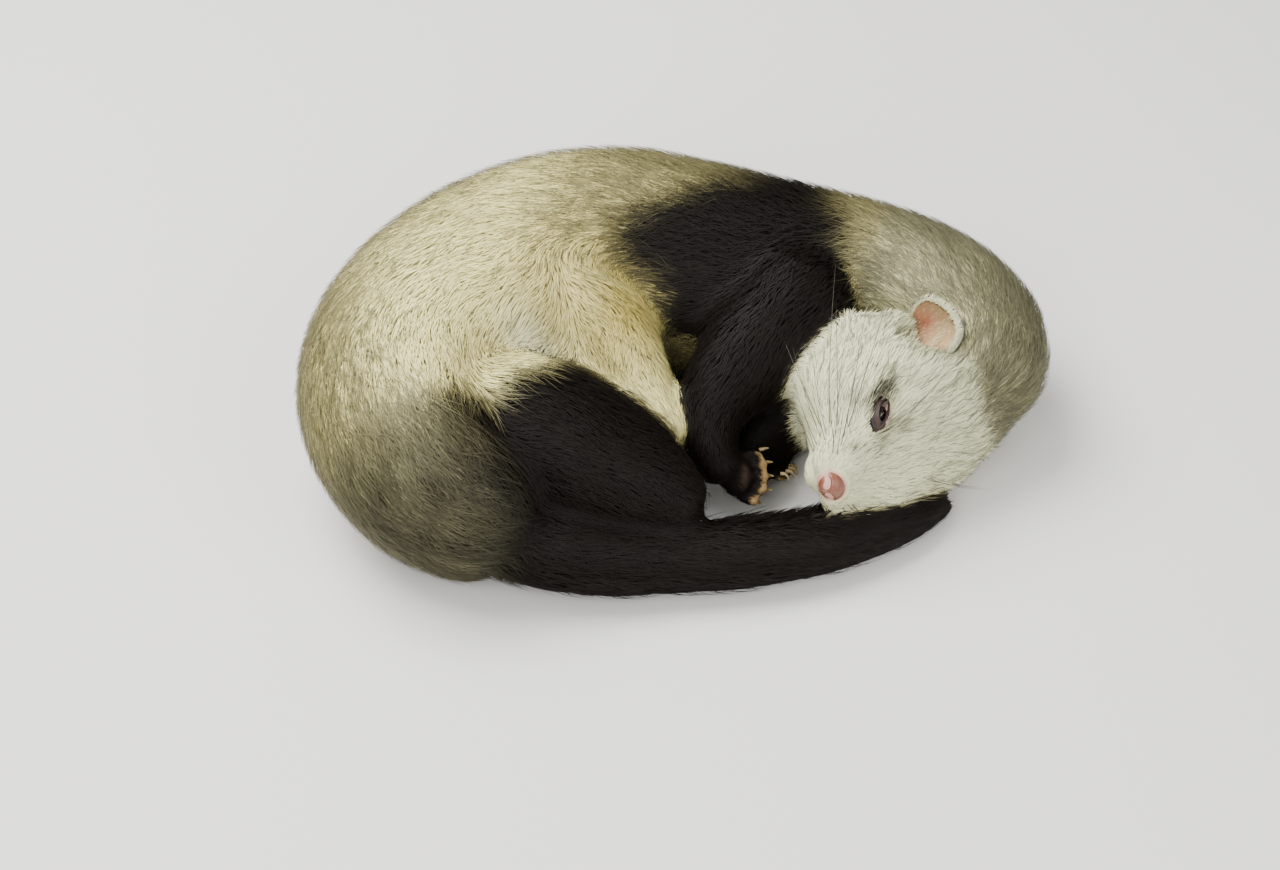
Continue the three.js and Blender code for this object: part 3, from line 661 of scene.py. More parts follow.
def coat_colour(tree, settings, strand=True):
    """The coat's markings as colour: the skin reads the same marks as the tufts that grow from it."""
    marks = {
        name: add_node(tree, "ShaderNodeAttribute", {"attribute_name": name}).outputs["Fac"]
        for name in ("dark", "white", "gold_and_shade", "grizzle", "along", "chance")
    }
    # Each hair darkens towards its root, and the skin under the coat takes the colour from partway along a hair: partly
    # the underfur's own tone, partly painted shade deep in the coat
    along = marks["along"] if strand else 0.45

    def mix(share, first, second):
        return add_node(tree, "ShaderNodeMix", {"data_type": "RGBA"}, {0: share, 6: first, 7: second}).outputs[2]

    cream = mix(along, linear("#d2c485"), linear(settings.cream))
    # Golden tan over the cream, which on the fold of the flank and round its lit middle is painted shade
    cream = mix(marks["gold_and_shade"], cream, linear(settings.gold_and_shade))
    pale = mix(along, linear("#c9c8a0"), linear(settings.white))
    pale = mix(marks["white"], cream, pale)
    colour = mix(marks["dark"], pale, mix(along, linear("#0b0806"), linear(settings.dark)))
    if strand:
        # A guard hair is pale at its root and dark over its outer half
        outer = add_node(tree, "ShaderNodeMath", {"operation": "POWER"}, {0: marks["along"], 1: 0.4}).outputs[0]
        share = add_node(tree, "ShaderNodeMath", {"operation": "MULTIPLY"}, {0: outer, 1: marks["grizzle"]}).outputs[0]
        colour = mix(share, colour, linear(settings.guard))
    # Soft patches about 12 mm across, lighter and darker by a tenth, and each tuft a little of its own
    place = add_node(tree, "ShaderNodeTexCoord").outputs["Object"]
    patches = add_node(tree, "ShaderNodeTexNoise", {}, {"Vector": place, "Scale": 1 / (12 * MM), "Detail": 3.0})
    own = add_node(tree, "ShaderNodeMath", {"operation": "MULTIPLY_ADD"}, {0: marks["chance"], 1: 0.22, 2: 0.78})
    value = add_node(
        tree, "ShaderNodeMath", {"operation": "MULTIPLY_ADD"}, {0: patches.outputs["Fac"], 1: 0.24, 2: own.outputs[0]}
    )
    toned = add_node(tree, "ShaderNodeHueSaturation", {}, {"Value": value.outputs[0], "Color": colour})
    return toned, marks["dark"]


def coat_material(settings):
    """Groomed animal hair: a soft broken sheen on the pale hair and hardly any on the dark."""
    material, tree = new_material("groomed_ferret_hair")
    colour, dark = coat_colour(tree, settings)
    gloss = add_node(tree, "ShaderNodeMath", {"operation": "MULTIPLY_ADD"}, {0: dark, 1: -0.2, 2: 0.32})
    shader = add_node(
        tree, "ShaderNodeBsdfPrincipled", {},
        {"Base Color": colour.outputs[0], "Roughness": 0.55, "Specular IOR Level": gloss.outputs[0]},
    )
    finish_material(tree, shader)
    return material


def skin_material(settings, face):
    """Hide under dense underwool: the coat's own markings, a little darker than the hair tips as painted shade under
    the coat, matt, with hair-fine relief; bare skin where there is no coat.
    """
    material, tree = new_material("hide_with_underwool")
    colour, _ = coat_colour(tree, settings, strand=False)
    bare, pad = (add_node(tree, "ShaderNodeAttribute", {"attribute_name": name}).outputs["Fac"] for name in ("bare", "pad"))
    place = add_node(tree, "ShaderNodeTexCoord").outputs["Object"]
    mottle = add_node(tree, "ShaderNodeTexNoise", {}, {"Vector": place, "Scale": 1 / (1.6 * MM), "Detail": 4.0})

    def mix(share, first, second):
        return add_node(tree, "ShaderNodeMix", {"data_type": "RGBA"}, {0: share, 6: first, 7: second}).outputs[2]

    flesh = mix(mottle.outputs["Fac"], linear("#a98878"), linear(face.pink))
    toe_pads = mix(mottle.outputs["Fac"], linear("#5a4429"), linear("#a48a58"))
    palm = add_node(tree, "ShaderNodeMath", {"operation": "MULTIPLY_ADD"}, {0: pad, 1: 2.0, 2: -1.0}).outputs[0]
    soles = mix(palm, linear("#2a1c13"), toe_pads)
    on_foot = add_node(tree, "ShaderNodeMath", {"operation": "MULTIPLY", "use_clamp": True}, {0: pad, 1: 12.0}).outputs[0]
    mixed = mix(bare, colour.outputs[0], mix(on_foot, flesh, soles))
    # Hairs are a tenth of a millimetre apart; drawn at 0.4 mm so that the relief shows
    hairs = add_node(tree, "ShaderNodeTexNoise", {}, {"Vector": place, "Scale": 1 / (0.4 * MM), "Detail": 2.0})
    bump = add_node(tree, "ShaderNodeBump", {}, {"Height": hairs.outputs["Fac"], "Strength": 0.5, "Distance": 0.3 * MM})
    shader = add_node(
        tree, "ShaderNodeBsdfPrincipled", {},
        {"Base Color": mixed, "Roughness": 0.7, "Specular IOR Level": 0.2, "Normal": bump.outputs[0]},
    )
    finish_material(tree, shader)
    return material


class FERRET_OT_skin(bpy.types.Operator):
    """One closed skin over the flesh of the solids, inside them by the depth of the coat"""

    bl_idname = "ferret.skin"
    bl_label = "Skin"

    def execute(self, context):
        settings = context.scene.ferret_skin
        skin = flesh_copy()
        apply_modifier(skin, "REMESH", mode="VOXEL", voxel_size=settings.voxel, adaptivity=0.0)
        mesh = skin.data
        self.keep_outer_shell(mesh)
        points = places(mesh)
        edges = edge_ends(mesh)
        which, share, _, _ = line_fields(points - SHIFT)
        names = np.array(LINE_NAMES)[which]
        fine = np.isin(names, ("foot_right", "foot_left")) | ((names == "foreleg_right") & (share > 0.75))
        fine |= (names == "head") & (share < 0.52)
        fine = averaged(fine.astype(float), edges, 12)
        smooth = averaged(points, edges, 30)
        light = averaged(points, edges, 3)
        points = light * fine[:, None] + smooth * (1 - fine[:, None])
        depth = coat_depth(points - SHIFT, which, share, settings)
        depth *= np.clip(points[:, 2] / 14, 0.2, 1)
        for side in (1, -1):
            near = np.linalg.norm(points - EYE_AT[side] - SHIFT, axis=1)
            depth *= eased(4, 10, near) * 0.8 + 0.2
        depth = averaged(depth, edges, 25) + 0.45
        for _ in range(8):
            move_to(mesh, points)
            points = points - point_normals(mesh) * (depth / 8)[:, None]
            calm = averaged(points, edges, 1)
            points = points * (0.4 + 0.6 * fine[:, None]) + calm * (0.6 - 0.6 * fine[:, None])
        # The ridge where the back of the cheek meets the shoulder is smoothed until it lies calm
        ridge = np.exp(-(((points - SHIFT - on_head(-46, -33, -2)) / 11) ** 2).sum(1))[:, None]
        points = points * (1 - ridge) + averaged(points, edges, 60) * ridge
        points = self.shape_face(points)
        points[:, 2] = np.maximum(points[:, 2], 0.02)
        move_to(mesh, points)
        triangles_now = 2 * len(mesh.polygons)
        if triangles_now > settings.most_faces:
            group = skin.vertex_groups.new(name="body")
            coarse = np.where(fine < 0.5)[0].tolist()
            group.add(coarse, 1.0, "REPLACE")
            apply_modifier(
                skin, "DECIMATE", ratio=settings.most_faces / triangles_now, vertex_group="body", vertex_group_factor=1.0
            )
            skin.vertex_groups.clear()
        self.keep_fields(skin.data, settings)
        skin.data.polygons.foreach_set("use_smooth", np.ones(len(skin.data.polygons), bool))
        settle(skin, "skin", skin_material(context.scene.ferret_coat, context.scene.ferret_face))
        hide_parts(*FLESH, *PAW_NODES)
        return {"FINISHED"}

    def keep_outer_shell(self, mesh):
        """Takes away the small closed hollows that the solids' gaps leave inside the skin."""
        bpy.ops.object.mode_set(mode="EDIT")
        bpy.ops.mesh.select_all(action="DESELECT")
        bpy.ops.mesh.select_mode(type="VERT")
        bpy.ops.object.mode_set(mode="OBJECT")
        mesh.vertices[int(places(mesh)[:, 2].argmax())].select = True
        bpy.ops.object.mode_set(mode="EDIT")
        bpy.ops.mesh.select_linked()
        bpy.ops.mesh.select_all(action="INVERT")
        bpy.ops.mesh.delete(type="VERT")
        bpy.ops.object.mode_set(mode="OBJECT")

    def shape_face(self, points):
        """Tucks the skin behind the eye that shows, presses in the mouth's line and lifts the brows."""
        local = lid_place(points - SHIFT, 1)
        reach = (local[:, 0] / (LID_LENGTH * 0.8)) ** 2 + (local[:, 1] / (LID_WIDTH * 0.75)) ** 2
        inside = (reach < 1) & (local[:, 2] > -1) & (np.linalg.norm(local, axis=1) < 9)
        target = unit(local) * (EYE_RADIUS - 0.5) @ eye_axes(1) + EYE_AT[1] + SHIFT
        points = np.where(inside[:, None], target, points)
        for side in (1, -1):
            # Under each ear the skin lies against the outside of the cup
            size = EAR_HALF * EAR_PRESS[side] + 0.5
            local = (points - SHIFT - EAR_AT[side]) @ ear_axes(side).T / size
            across = np.minimum(np.hypot(local[:, 0], local[:, 1]), 0.999)
            bottom = -np.sqrt(1 - across**2)
            bottom -= 0.35 * eased(1, 0.8, across)  # clear of the pocket at the cup's deep end
            held = (np.hypot(local[:, 0], local[:, 1]) < 1) & (local[:, 2] > bottom) & (local[:, 2] < 1.4)
            local[:, 2] = np.where(held, bottom, local[:, 2])
            points = np.where(held[:, None], local * size @ ear_axes(side) + EAR_AT[side] + SHIFT, points)
        local = (points - SHIFT - NOSE_TIP) @ HEAD_AXES.T
        x, y, z = local.T
        # The lips meet along a line that runs back under each whisker pad
        lip = np.interp(-x, (0, 3, 7, 13, 20), (-3.6, -4.2, -5.2, -5.6, -3.4))
        groove = np.exp(-(((z - lip) / 0.55) ** 2)) * eased(24, 18, -x) * eased(0.5, 1.5, -x)
        inward = unit(np.stack([x * 0, -y, -(z + 3)], 1))
        points = points + from_head(inward * (groove * 0.9)[:, None])
        brow = np.exp(-(((x + 27) / 5) ** 2 + ((np.abs(y) - 9) / 4) ** 2)) * (z > 4)
        points = points + from_head(np.stack([brow * 0, np.sign(y) * brow * 0.4, brow * 0.8], 1))
        return points

    def keep_fields(self, mesh, settings):
        """Keeps at each point what the coat needs: its lie, depth, length, width, density and marks."""
        points = places(mesh)
        edges = edge_ends(mesh)
        normals = point_normals(mesh)
        part = points - SHIFT
        which, share, _, way = line_fields(part)
        names = np.array(LINE_NAMES)[which]
        for _ in range(3):
            way = way - normals * (way * normals).sum(1, keepdims=True)
            way = averaged(unit(way), edges, 12)
        way = unit(way - normals * (way * normals).sum(1, keepdims=True))
        swirl = ripple(points, 38, 3) * math.radians(12) + ripple(points, 13, 4) * math.radians(9)
        calm = np.where(names == "head", 0.5, 1.0)
        cross = np.cross(normals, way)
        swirl = (swirl * calm)[:, None]
        way = unit(way * np.cos(swirl) + cross * np.sin(swirl))
        depth = coat_depth(part, which, share, settings) * np.clip(points[:, 2] / 12, 0.25, 1)
        length, width, density = np.full((3, len(points)), 1.0)
        tables = {
            "body": ((0, 0.15, 0.35, 1), (7, 7.5, 8, 8.5), (0.34, 0.36, 0.38, 0.4), (3.4, 3.1, 2.8, 2.6)),
            "fold": ((0, 1), (7, 5.5), (0.36, 0.32), (2.9, 3.2)),
            "head": (
                (0, 0.1, 0.25, 0.4, 0.6, 1), (1.2, 1.9, 3.0, 4.2, 5.4, 7),
                (0.17, 0.19, 0.22, 0.25, 0.28, 0.33), (12, 10, 7.5, 6, 4.8, 3.6),
            ),
            "tail": ((0, 0.15, 0.8, 1), (9, 11, 10, 8), (0.4, 0.42, 0.4, 0.34), (2.2, 2.3, 2.6, 3)),
            "foreleg_right": ((0, 0.4, 0.7, 0.85, 1), (8, 6.5, 4, 2.6, 1.8), (0.38, 0.34, 0.3, 0.25, 0.22), (2.6, 2.8, 3.6, 5, 6)),
            "foreleg_left": ((0, 0.5, 0.8, 1), (7, 5, 3, 2), (0.38, 0.34, 0.28, 0.22), (1.4, 1.8, 2.6, 3.5)),
            "hindleg_right": ((0, 0.5, 1), (9, 8.5, 6), (0.4, 0.4, 0.35), (2.5, 2.5, 2.8)),
            "hindleg_left": ((0, 1), (7, 5), (0.42, 0.38), (1.2, 1.4)),
            "shank_right": ((0, 1), (4.5, 3.6), (0.34, 0.3), (2, 2.4)),
            "foot_right": ((0, 1), (2.4, 1.7), (0.26, 0.22), (3.4, 4)),
            "foot_left": ((0, 1), (2.4, 1.7), (0.26, 0.22), (2, 2)),
        }
        for number, name in enumerate(LINE_NAMES):
            here = which == number
            stations, lengths, widths, densities = tables[name]
            length[here] = np.interp(share[here], stations, lengths)
            width[here] = np.interp(share[here], stations, widths)
            density[here] = np.interp(share[here], stations, densities)
        # The brush of the tail stands up a little on the side that lies in the curl
        depth += np.where(names == "tail", 2.8 * eased(-0.1, 0.6, normals[:, 1]) * eased(1, 0.8, share), 0)
        length, width, depth = (averaged(v, edges, 10) for v in (length, width, depth))
        density *= np.where((points[:, 2] < 4) & (normals[:, 2] < -0.5), 0.12, 1)
        bare, pad = np.zeros((2, len(points)))
        nose = np.linalg.norm((part - on_head(-3.2, 0, 0.8)) @ HEAD_AXES.T / (4.4, 5.0, 4.3), axis=1)
        bare = np.maximum(bare, eased(1.12, 1.0, nose))
        lids = np.linalg.norm(lid_place(part, 1) / (LID_LENGTH, LID_WIDTH, 14), axis=1)
        bare = np.maximum(bare, eased(0.92, 0.82, lids))
        for side in (1, -1):
            ear = in_ear(part, side)
            density *= np.where(ear < 0.86, 0, 1)
            # Round an ear the hair is short and lies close, but in front it laps over the foot of the cup
            behind = (part - EAR_AT[side]) @ ear_axes(side)[1]
            pressed = eased(1.9, 1.05, ear) * eased(-6.5, -1, behind)
            length, depth, width = length * (1 - 0.45 * pressed), depth * (1 - 0.6 * pressed), width * (1 - 0.3 * pressed)
            density *= 1 + 0.8 * pressed
        limbs = {"forepaw_right": "foreleg_right", "forepaw_left": "foreleg_left", "hindpaw_right": "foot_right", "hindpaw_left": "foot_left"}
        for name, paw in PAWS.items():
            local = (part - np.array(paw["root"])) @ paw_axes(paw).T
            along_paw, low = local[:, 0] / paw["length"], local[:, 2] / paw["width"]
            own = (names == limbs[name]) & (np.abs(local[:, 1]) < paw["width"] * 0.7)
            on_toes = np.zeros(len(part), bool)
            toe = paw["width"] * 0.135
            for number in range(5):
                reach, spread = toe_reach(paw, number)
                on_toes |= np.linalg.norm((local - [reach * 0.95, spread * 1.05, toe * 0.8]) / toe, axis=1) < 1.1
            on_toes &= own
            on_palm = own & (along_paw > 0.2) & (along_paw <= 0.6) & (low > 0.14) & (low < 0.6)
            on_palm &= np.abs(local[:, 1]) < paw["width"] * 0.36
            bare = np.maximum(bare, np.where(on_toes | on_palm, 1, 0))
            pad = np.maximum(pad, np.where(on_toes, 1, 0.5 * on_palm))
        density *= bare < 0.5
        for name, values in markings(part, which, share).items():
            store(mesh, name, averaged(values, edges, 2))
        store(mesh, "lie", way)
        store(mesh, "depth", depth)
        store(mesh, "length", length)
        store(mesh, "width", width)
        store(mesh, "density", density)
        store(mesh, "bare", averaged(bare, edges, 2))
        store(mesh, "pad", averaged(pad, edges, 4))
        store(mesh, "region", which.astype(float))
        store(mesh, "share", share)
        store(mesh, "chance", np.full(len(points), 0.4))


def bound_tree(mesh):
    """A mesh's triangles and a tree that finds the nearest of them."""
    faces = triangles(mesh)
    points = places(mesh)
    return points, faces, BVHTree.FromPolygons(points.tolist(), faces.tolist())


def face_mean(values, faces):
    """The mean over each triangle of what is kept at its points."""
    return values[faces].mean(1)


# A tuft is a closed spindle: its root, three points round its middle, its tip
TUFT = np.array(((0, 1, 2), (0, 2, 3), (0, 3, 1), (4, 2, 1), (4, 3, 2), (4, 1, 3)))
MOST_TUFTS = 33000  # in one piece, so that it stays under 200,000 triangles


def draw_tufts(name, rows, material):
    """Joins tufts into one piece. rows holds each tuft's root, middle and tip, ways out, width, marks and unwrap."""
    spine, outward = rows["spine"], rows["outward"]
    count = len(spine)
    way = unit(spine[:, 2] - spine[:, 0])
    side = unit(np.cross(way, outward[:, 1]))
    top = np.cross(side, way)
    half = rows["width"][:, None] / 2
    middle = spine[:, 1]
    points = np.stack([spine[:, 0], middle - side * half, middle + side * half, middle + top * half * 0.7, spine[:, 2]], axis=1)
    points[:, :, 2] = np.maximum(points[:, :, 2], 0.03)
    faces = (TUFT[None] + (np.arange(count) * 5)[:, None, None]).reshape(-1, 3)
    piece = piece_from(name, points.reshape(-1, 3), faces, material)
    # The tufts are lit as the soft form they make together, with a little of each one's own roundness
    round_up = np.stack([outward[:, 0], unit(outward[:, 1] - side), unit(outward[:, 1] + side), outward[:, 1], outward[:, 2]], 1)
    facing = unit(round_up * 0.35 + outward[:, 1][:, None] * 0.65)
    piece.data.normals_split_custom_set_from_vertices(facing.reshape(-1, 3).tolist())
    along = np.array([0.0, 0.5, 0.5, 0.5, 1.0])
    store(piece.data, "along", np.tile(along, count))
    for mark in ("dark", "white", "gold_and_shade", "grizzle", "chance"):
        store(piece.data, mark, np.repeat(rows[mark], 5))
    # Each tuft is a small patch at its root's place on an unwrap of the skin
    layer = piece.data.uv_layers.new(name="OFBake")
    patch = np.stack([[0.5, 0.0, 1.0, 0.5, 0.5], along], 1) * 0.003
    flat = (rows["unwrap"][:, None] + patch[None]).reshape(-1, 2)
    layer.data.foreach_set("uv", flat[faces.ravel()].astype(np.float32).ravel())
    return settle(piece, name)


# Each piece of the coat: the centre lines that it covers, and which share of them
COAT_PIECES = {
    "coat_muzzle": (("head",), (0.0, 0.42)),
    "coat_cheeks": (("head",), (0.42, 0.7)),
    "coat_nape": (("head",), (0.7, 1.01)),
    "coat_neck": (("body",), (0.0, 0.27)),
    "coat_chest": (("body",), (0.27, 0.47)),
    "coat_flank": (("body",), (0.47, 0.6)),
    "coat_loin": (("body",), (0.6, 0.72)),
    "coat_haunch": (("body",), (0.72, 0.85)),
    "coat_rump": (("body",), (0.85, 1.01)),
    "coat_fold": (("fold",), (0.0, 1.01)),
    "coat_forelegs": (("foreleg_right", "foreleg_left"), (0.0, 1.01)),
    "coat_thigh": (("hindleg_right",), (0.0, 1.01)),
    "coat_hindpaws": (("hindleg_left", "shank_right", "foot_right", "foot_left"), (0.0, 1.01)),
    "coat_tail": (("tail",), (0.0, 1.01)),
}


def scattered(points, faces, density, rng):
    """Places spread evenly by area and density: the face of each and its share of the three corners."""
    a, b, c = (points[faces[:, k]] for k in range(3))
    area = np.linalg.norm(np.cross(b - a, c - a), axis=1) / 2
    sought = np.cumsum(area * density[faces].mean(1))
    count = int(sought[-1])
    picked = np.searchsorted(sought, (np.arange(count) + rng.random(count)) * (sought[-1] / count))
    picked = np.minimum(picked, len(faces) - 1)
    s, t = np.sqrt(rng.random(count)), rng.random(count)
    return picked, np.stack([1 - s, s * (1 - t), s * t], 1)


class FERRET_OT_coat(bpy.types.Operator):
    """The coat: closed tapering tufts that grow from the skin and lie along the body"""

    bl_idname = "ferret.coat"
    bl_label = "Coat"

    def execute(self, context):
        settings = context.scene.ferret_coat
        material = coat_material(settings)
        mesh = bpy.data.objects["skin"].data
        points, faces, tree = bound_tree(mesh)
        names = ("lie", "depth", "length", "width", "density", "region", "share", "dark", "white", "gold_and_shade", "grizzle")
        kept = {name: fetch(mesh, name) for name in names}
        kept["out"] = point_normals(mesh)
        rng = np.random.default_rng(settings.seed)
        guards = kept["grizzle"] * np.where(kept["density"] > 0, 1, 0) * 1.5
        layers = (self.layer(points, faces, kept, kept["density"] * settings.density, rng, False),
                  self.layer(points, faces, kept, guards * settings.density, rng, True))
        rows = {key: np.concatenate([layer[key] for layer in layers]) for key in layers[0]}
        self.walk(rows, points, faces, kept, tree)
        self.gather(rows, rng)
        for name, (lines, (start, end)) in COAT_PIECES.items():
            numbers = [LINE_NAMES.index(line) for line in lines]
            chosen = np.where(np.isin(rows["region"], numbers) & (rows["share"] >= start) & (rows["share"] < end))[0]
            if len(chosen) > MOST_TUFTS:
                print(name, "leaves out", len(chosen) - MOST_TUFTS, "tufts")
                chosen = rng.permutation(chosen)[:MOST_TUFTS]
            part = {key: values[chosen] for key, values in rows.items()}
            part["unwrap"] = self.unwrap(part["root"], part["region"], part["share"], numbers, start, end)
            part["slot"] = "white_fur" if "head" in lines else "cream_fur" if part["dark"].mean() < 0.5 else "dark_fur"
            draw_tufts(name, part, material)
            print(name, len(chosen), "tufts")
        return {"FINISHED"}

    def layer(self, points, faces, kept, density, rng, guard):
        """One layer of hair: the soft coat itself, or the longer and thinner guard hairs over it."""
        picked, weights = scattered(points, faces, density, rng)
        count = len(picked)

        def at_root(values):
            chosen = values[faces[picked]]
            return (chosen * (weights if values.ndim == 1 else weights[:, :, None])).sum(1)

        rows = {key: at_root(kept[key]) for key in ("depth", "length", "width", "share", "dark", "white", "gold_and_shade")}
        rows["root"], rows["out"], rows["lie"] = at_root(points), unit(at_root(kept["out"])), at_root(kept["lie"])
        rows["region"] = kept["region"][faces[picked, 0]].astype(int)
        rows["chance"] = rng.random(count)
        on_face = rows["region"] == LINE_NAMES.index("head")
        if guard:
            rows["length"] *= rng.uniform(1.3, 2.0, count)
            rows["width"] = rows["width"] * np.where(on_face, 0.75, 0.7)
            rows["rise"] = rows["depth"] * rng.uniform(0.98, 1.12, count) + np.where(on_face, 0.2, rng.uniform(0.2, 1.8, count))
            rows["stray"] = rng.normal(size=count) * math.radians(15)
            rows["grizzle"] = rng.uniform(0.75, 1.0, count)
        else:
            rows["length"] *= rng.uniform(0.75, 1.15, count)
            rows["rise"] = rows["depth"] * rng.uniform(0.55, 1.0, count)
            rows["stray"] = rng.normal(size=count) * math.radians(8)
            rows["grizzle"] = np.zeros(count)
            shaken = rows["dark"] + (rng.random(count) - 0.5) * 2.4 * rows["dark"] * (1 - rows["dark"])
            rows["dark"] = 1 - (1 - np.clip(shaken, 0, 1)) ** 1.7
        return rows

    def walk(self, rows, points, faces, kept, tree):
        """Leads each tuft along the skin from its root, so that it hugs the form it lies on."""
        out, stray = rows["out"], rows["stray"][:, None]
        lie = unit(rows["lie"] - out * (rows["lie"] * out).sum(1, keepdims=True))
        way = unit(lie * np.cos(stray) + np.cross(out, lie) * np.sin(stray))
        mean_out, mean_lie = unit(kept["out"][faces].mean(1)), kept["lie"][faces].mean(1)
        mean_depth = kept["depth"][faces].mean(1)
        spine, outs, ground = [rows["root"] - out * 0.35], [out], rows["root"]
        for share, height in ((0.5, 0.72), (0.5, 1.0)):
            ahead = ground + way * (rows["length"] * share)[:, None]
            found = [tree.find_nearest(place) for place in ahead.tolist()]
            hit, away = np.array([one[2] for one in found]), np.array([one[3] for one in found])
            up = mean_out[hit]
            below = ((ahead - points[faces[hit, 0]]) * up).sum(1, keepdims=True)
            # Where another limb is nearer than the form it grows on, the tuft keeps to its own and stays short
            astray = ((up * outs[-1]).sum(1) < 0.5) | (away > 0.5 + 0.35 * rows["length"] * share)
            astray = astray[:, None]
            up = np.where(astray, outs[-1], up)
            short = ground + way * (rows["length"] * share * 0.45)[:, None]
            ground = np.where(astray, short, ahead - up * below)
            rise = np.minimum(rows["rise"], mean_depth[hit] * 1.1 + 0.3 + 1.3 * rows["grizzle"]) * height
            spine.append(ground + up * rise[:, None])
            outs.append(up)
            next_lie = np.where(astray, way, mean_lie[hit])
            next_lie = unit(next_lie - up * (next_lie * up).sum(1, keepdims=True))
            way = unit(next_lie + np.cross(up, next_lie) * np.tan(stray) * 1.3)
        rows["spine"], rows["outward"] = np.stack(spine, 1), np.stack(outs, 1)

    def gather(self, rows, rng):
        """Neighbouring tips lean together into small locks."""
        root, spine = rows["root"], rows["spine"]
        size = np.where(rows["region"] == LINE_NAMES.index("head"), 1.1, 1.9)
        shaken = root + np.stack([ripple(root, 9, 21 + k) for k in range(3)], 1) * 1.2
        cell = np.floor(shaken / size[:, None]).astype(np.int64)
        cell -= cell.min(0)
        wide = cell.max(0) + 1
        _, lock = np.unique((cell[:, 0] * wide[1] + cell[:, 1]) * wide[2] + cell[:, 2], return_inverse=True)
        amount = np.bincount(lock)
        loose = np.where(rows["grizzle"] > 0.5, 0.3, 1.0)
        for point, pull in ((1, 0.12), (2, 0.34)):
            lean = spine[:, point] - root
            mean = np.stack([np.bincount(lock, lean[:, k] + root[:, k]) / amount for k in range(3)], 1)[lock]
            spine[:, point] += (mean - spine[:, point]) * (pull * loose)[:, None]

    def unwrap(self, root, region, share, numbers, start, end):
        """Roots laid out by their share along their own line and their angle round it."""
        flat = np.zeros((len(root), 2))
        wide = 1 / len(numbers)
        for slot_number, number in enumerate(numbers):
            here = region == number
            course = smooth_line([place for place, _ in LINES[LINE_NAMES[number]]], 120)
            tangents = unit(np.gradient(course, axis=0))
            at = np.clip((share[here] * 119).astype(int), 0, 119)
            offset = root[here] - SHIFT - course[at]
            first = unit(np.cross(tangents[at], [0.0, 0.0, 1.0]))
            second = np.cross(tangents[at], first)
            angle = np.arctan2((offset * second).sum(1), (offset * first).sum(1)) / (2 * math.pi) + 0.5
            flat[here, 0] = (slot_number + 0.02 + 0.95 * angle) * wide
            flat[here, 1] = 0.02 + 0.95 * (share[here] - start) / (min(end, 1) - start)
        return flat


def plain_skin_material(name, deep, light, grain, roughness, specular, subsurface):
    """Thin bare skin: mottled between two tones, with a fine relief and a little light through it."""
    material, tree = new_material(name)
    place = add_node(tree, "ShaderNodeTexCoord")
    mottle = add_node(tree, "ShaderNodeTexNoise", {}, {"Vector": place.outputs["Object"], "Scale": 1 / (grain * 3 * MM), "Detail": 4.0})
    colour = add_node(tree, "ShaderNodeMix", {"data_type": "RGBA"}, {0: mottle.outputs["Fac"], 6: linear(deep), 7: linear(light)})
    relief = add_node(tree, "ShaderNodeTexVoronoi", {}, {"Vector": place.outputs["Object"], "Scale": 1 / (grain * MM)})
    bump = add_node(tree, "ShaderNodeBump", {}, {"Height": relief.outputs["Distance"], "Strength": 0.35, "Distance": grain * 0.3 * MM})
    shader = add_node(
        tree, "ShaderNodeBsdfPrincipled", {},
        {
            "Base Color": colour.outputs[2], "Roughness": roughness, "Specular IOR Level": specular,
            "Subsurface Weight": subsurface, "Subsurface Radius": (0.8 * MM, 0.3 * MM, 0.2 * MM), "Subsurface Scale": 1.0,
            "Normal": bump.outputs[0],
        },
    )
    finish_material(tree, shader)
    return material


class FERRET_OT_nose(bpy.types.Operator):
    """The nose: moist leather with two comma-shaped nostrils and the groove between them"""

    bl_idname = "ferret.nose"
    bl_label = "Nose"

    def execute(self, context):
        face = context.scene.ferret_face
        deselect()
        bpy.ops.mesh.primitive_uv_sphere_add(segments=96, ring_count=64, radius=1)
        nose = bpy.context.object
        ball = places(nose.data) * MM  # the primitive is one unit across, not a millimetre
        x, y, z = ball.T
        x = np.where(x > 0, x * 0.94, x)
        front = eased(-0.2, 0.7, x)
        wide = 1 - 0.16 * eased(0.2, -1, z)
        local = np.stack([x * 4.2, y * 4.7 * wide, z * 4.0 + 0.2 * front], 1)
        press = np.zeros(len(local))
        for side in (1, -1):
            course = smooth_line([(1.7, 0.3), (2.6, 0.5), (3.6, 0.0), (4.5, -0.2)], 30)
            widths = np.interp(np.linspace(0, 1, 30), (0, 0.35, 1), (1.0, 0.95, 0.35))
            gap = np.linalg.norm(local[:, None, 1:] - course[None] * (side, 1), axis=2) / widths[None]
            press += np.exp(-(gap.min(1) ** 2) * 1.1) * front * 1.9
        press += np.exp(-((local[:, 1] / 0.35) ** 2)) * front * eased(0.9, -0.6, z) * 0.45
        local[:, 0] -= press
        centre = on_head(-3.2, 0, 0.8)
        move_to(nose.data, local @ HEAD_AXES + centre + SHIFT)
        nose.data.polygons.foreach_set("use_smooth", np.ones(len(nose.data.polygons), bool))
        store(nose.data, "pit", np.clip(press / 1.6, 0, 1))
        # Pink-brown leather, wet enough for a small sharp highlight, its pebbles 0.35 mm across
        material = plain_skin_material("moist_nose_leather", "#5f382a", face.nose, 0.35, 0.3, 0.55, 0.1)
        settle(nose, "nose_leather", material)
        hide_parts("nose")
        return {"FINISHED"}


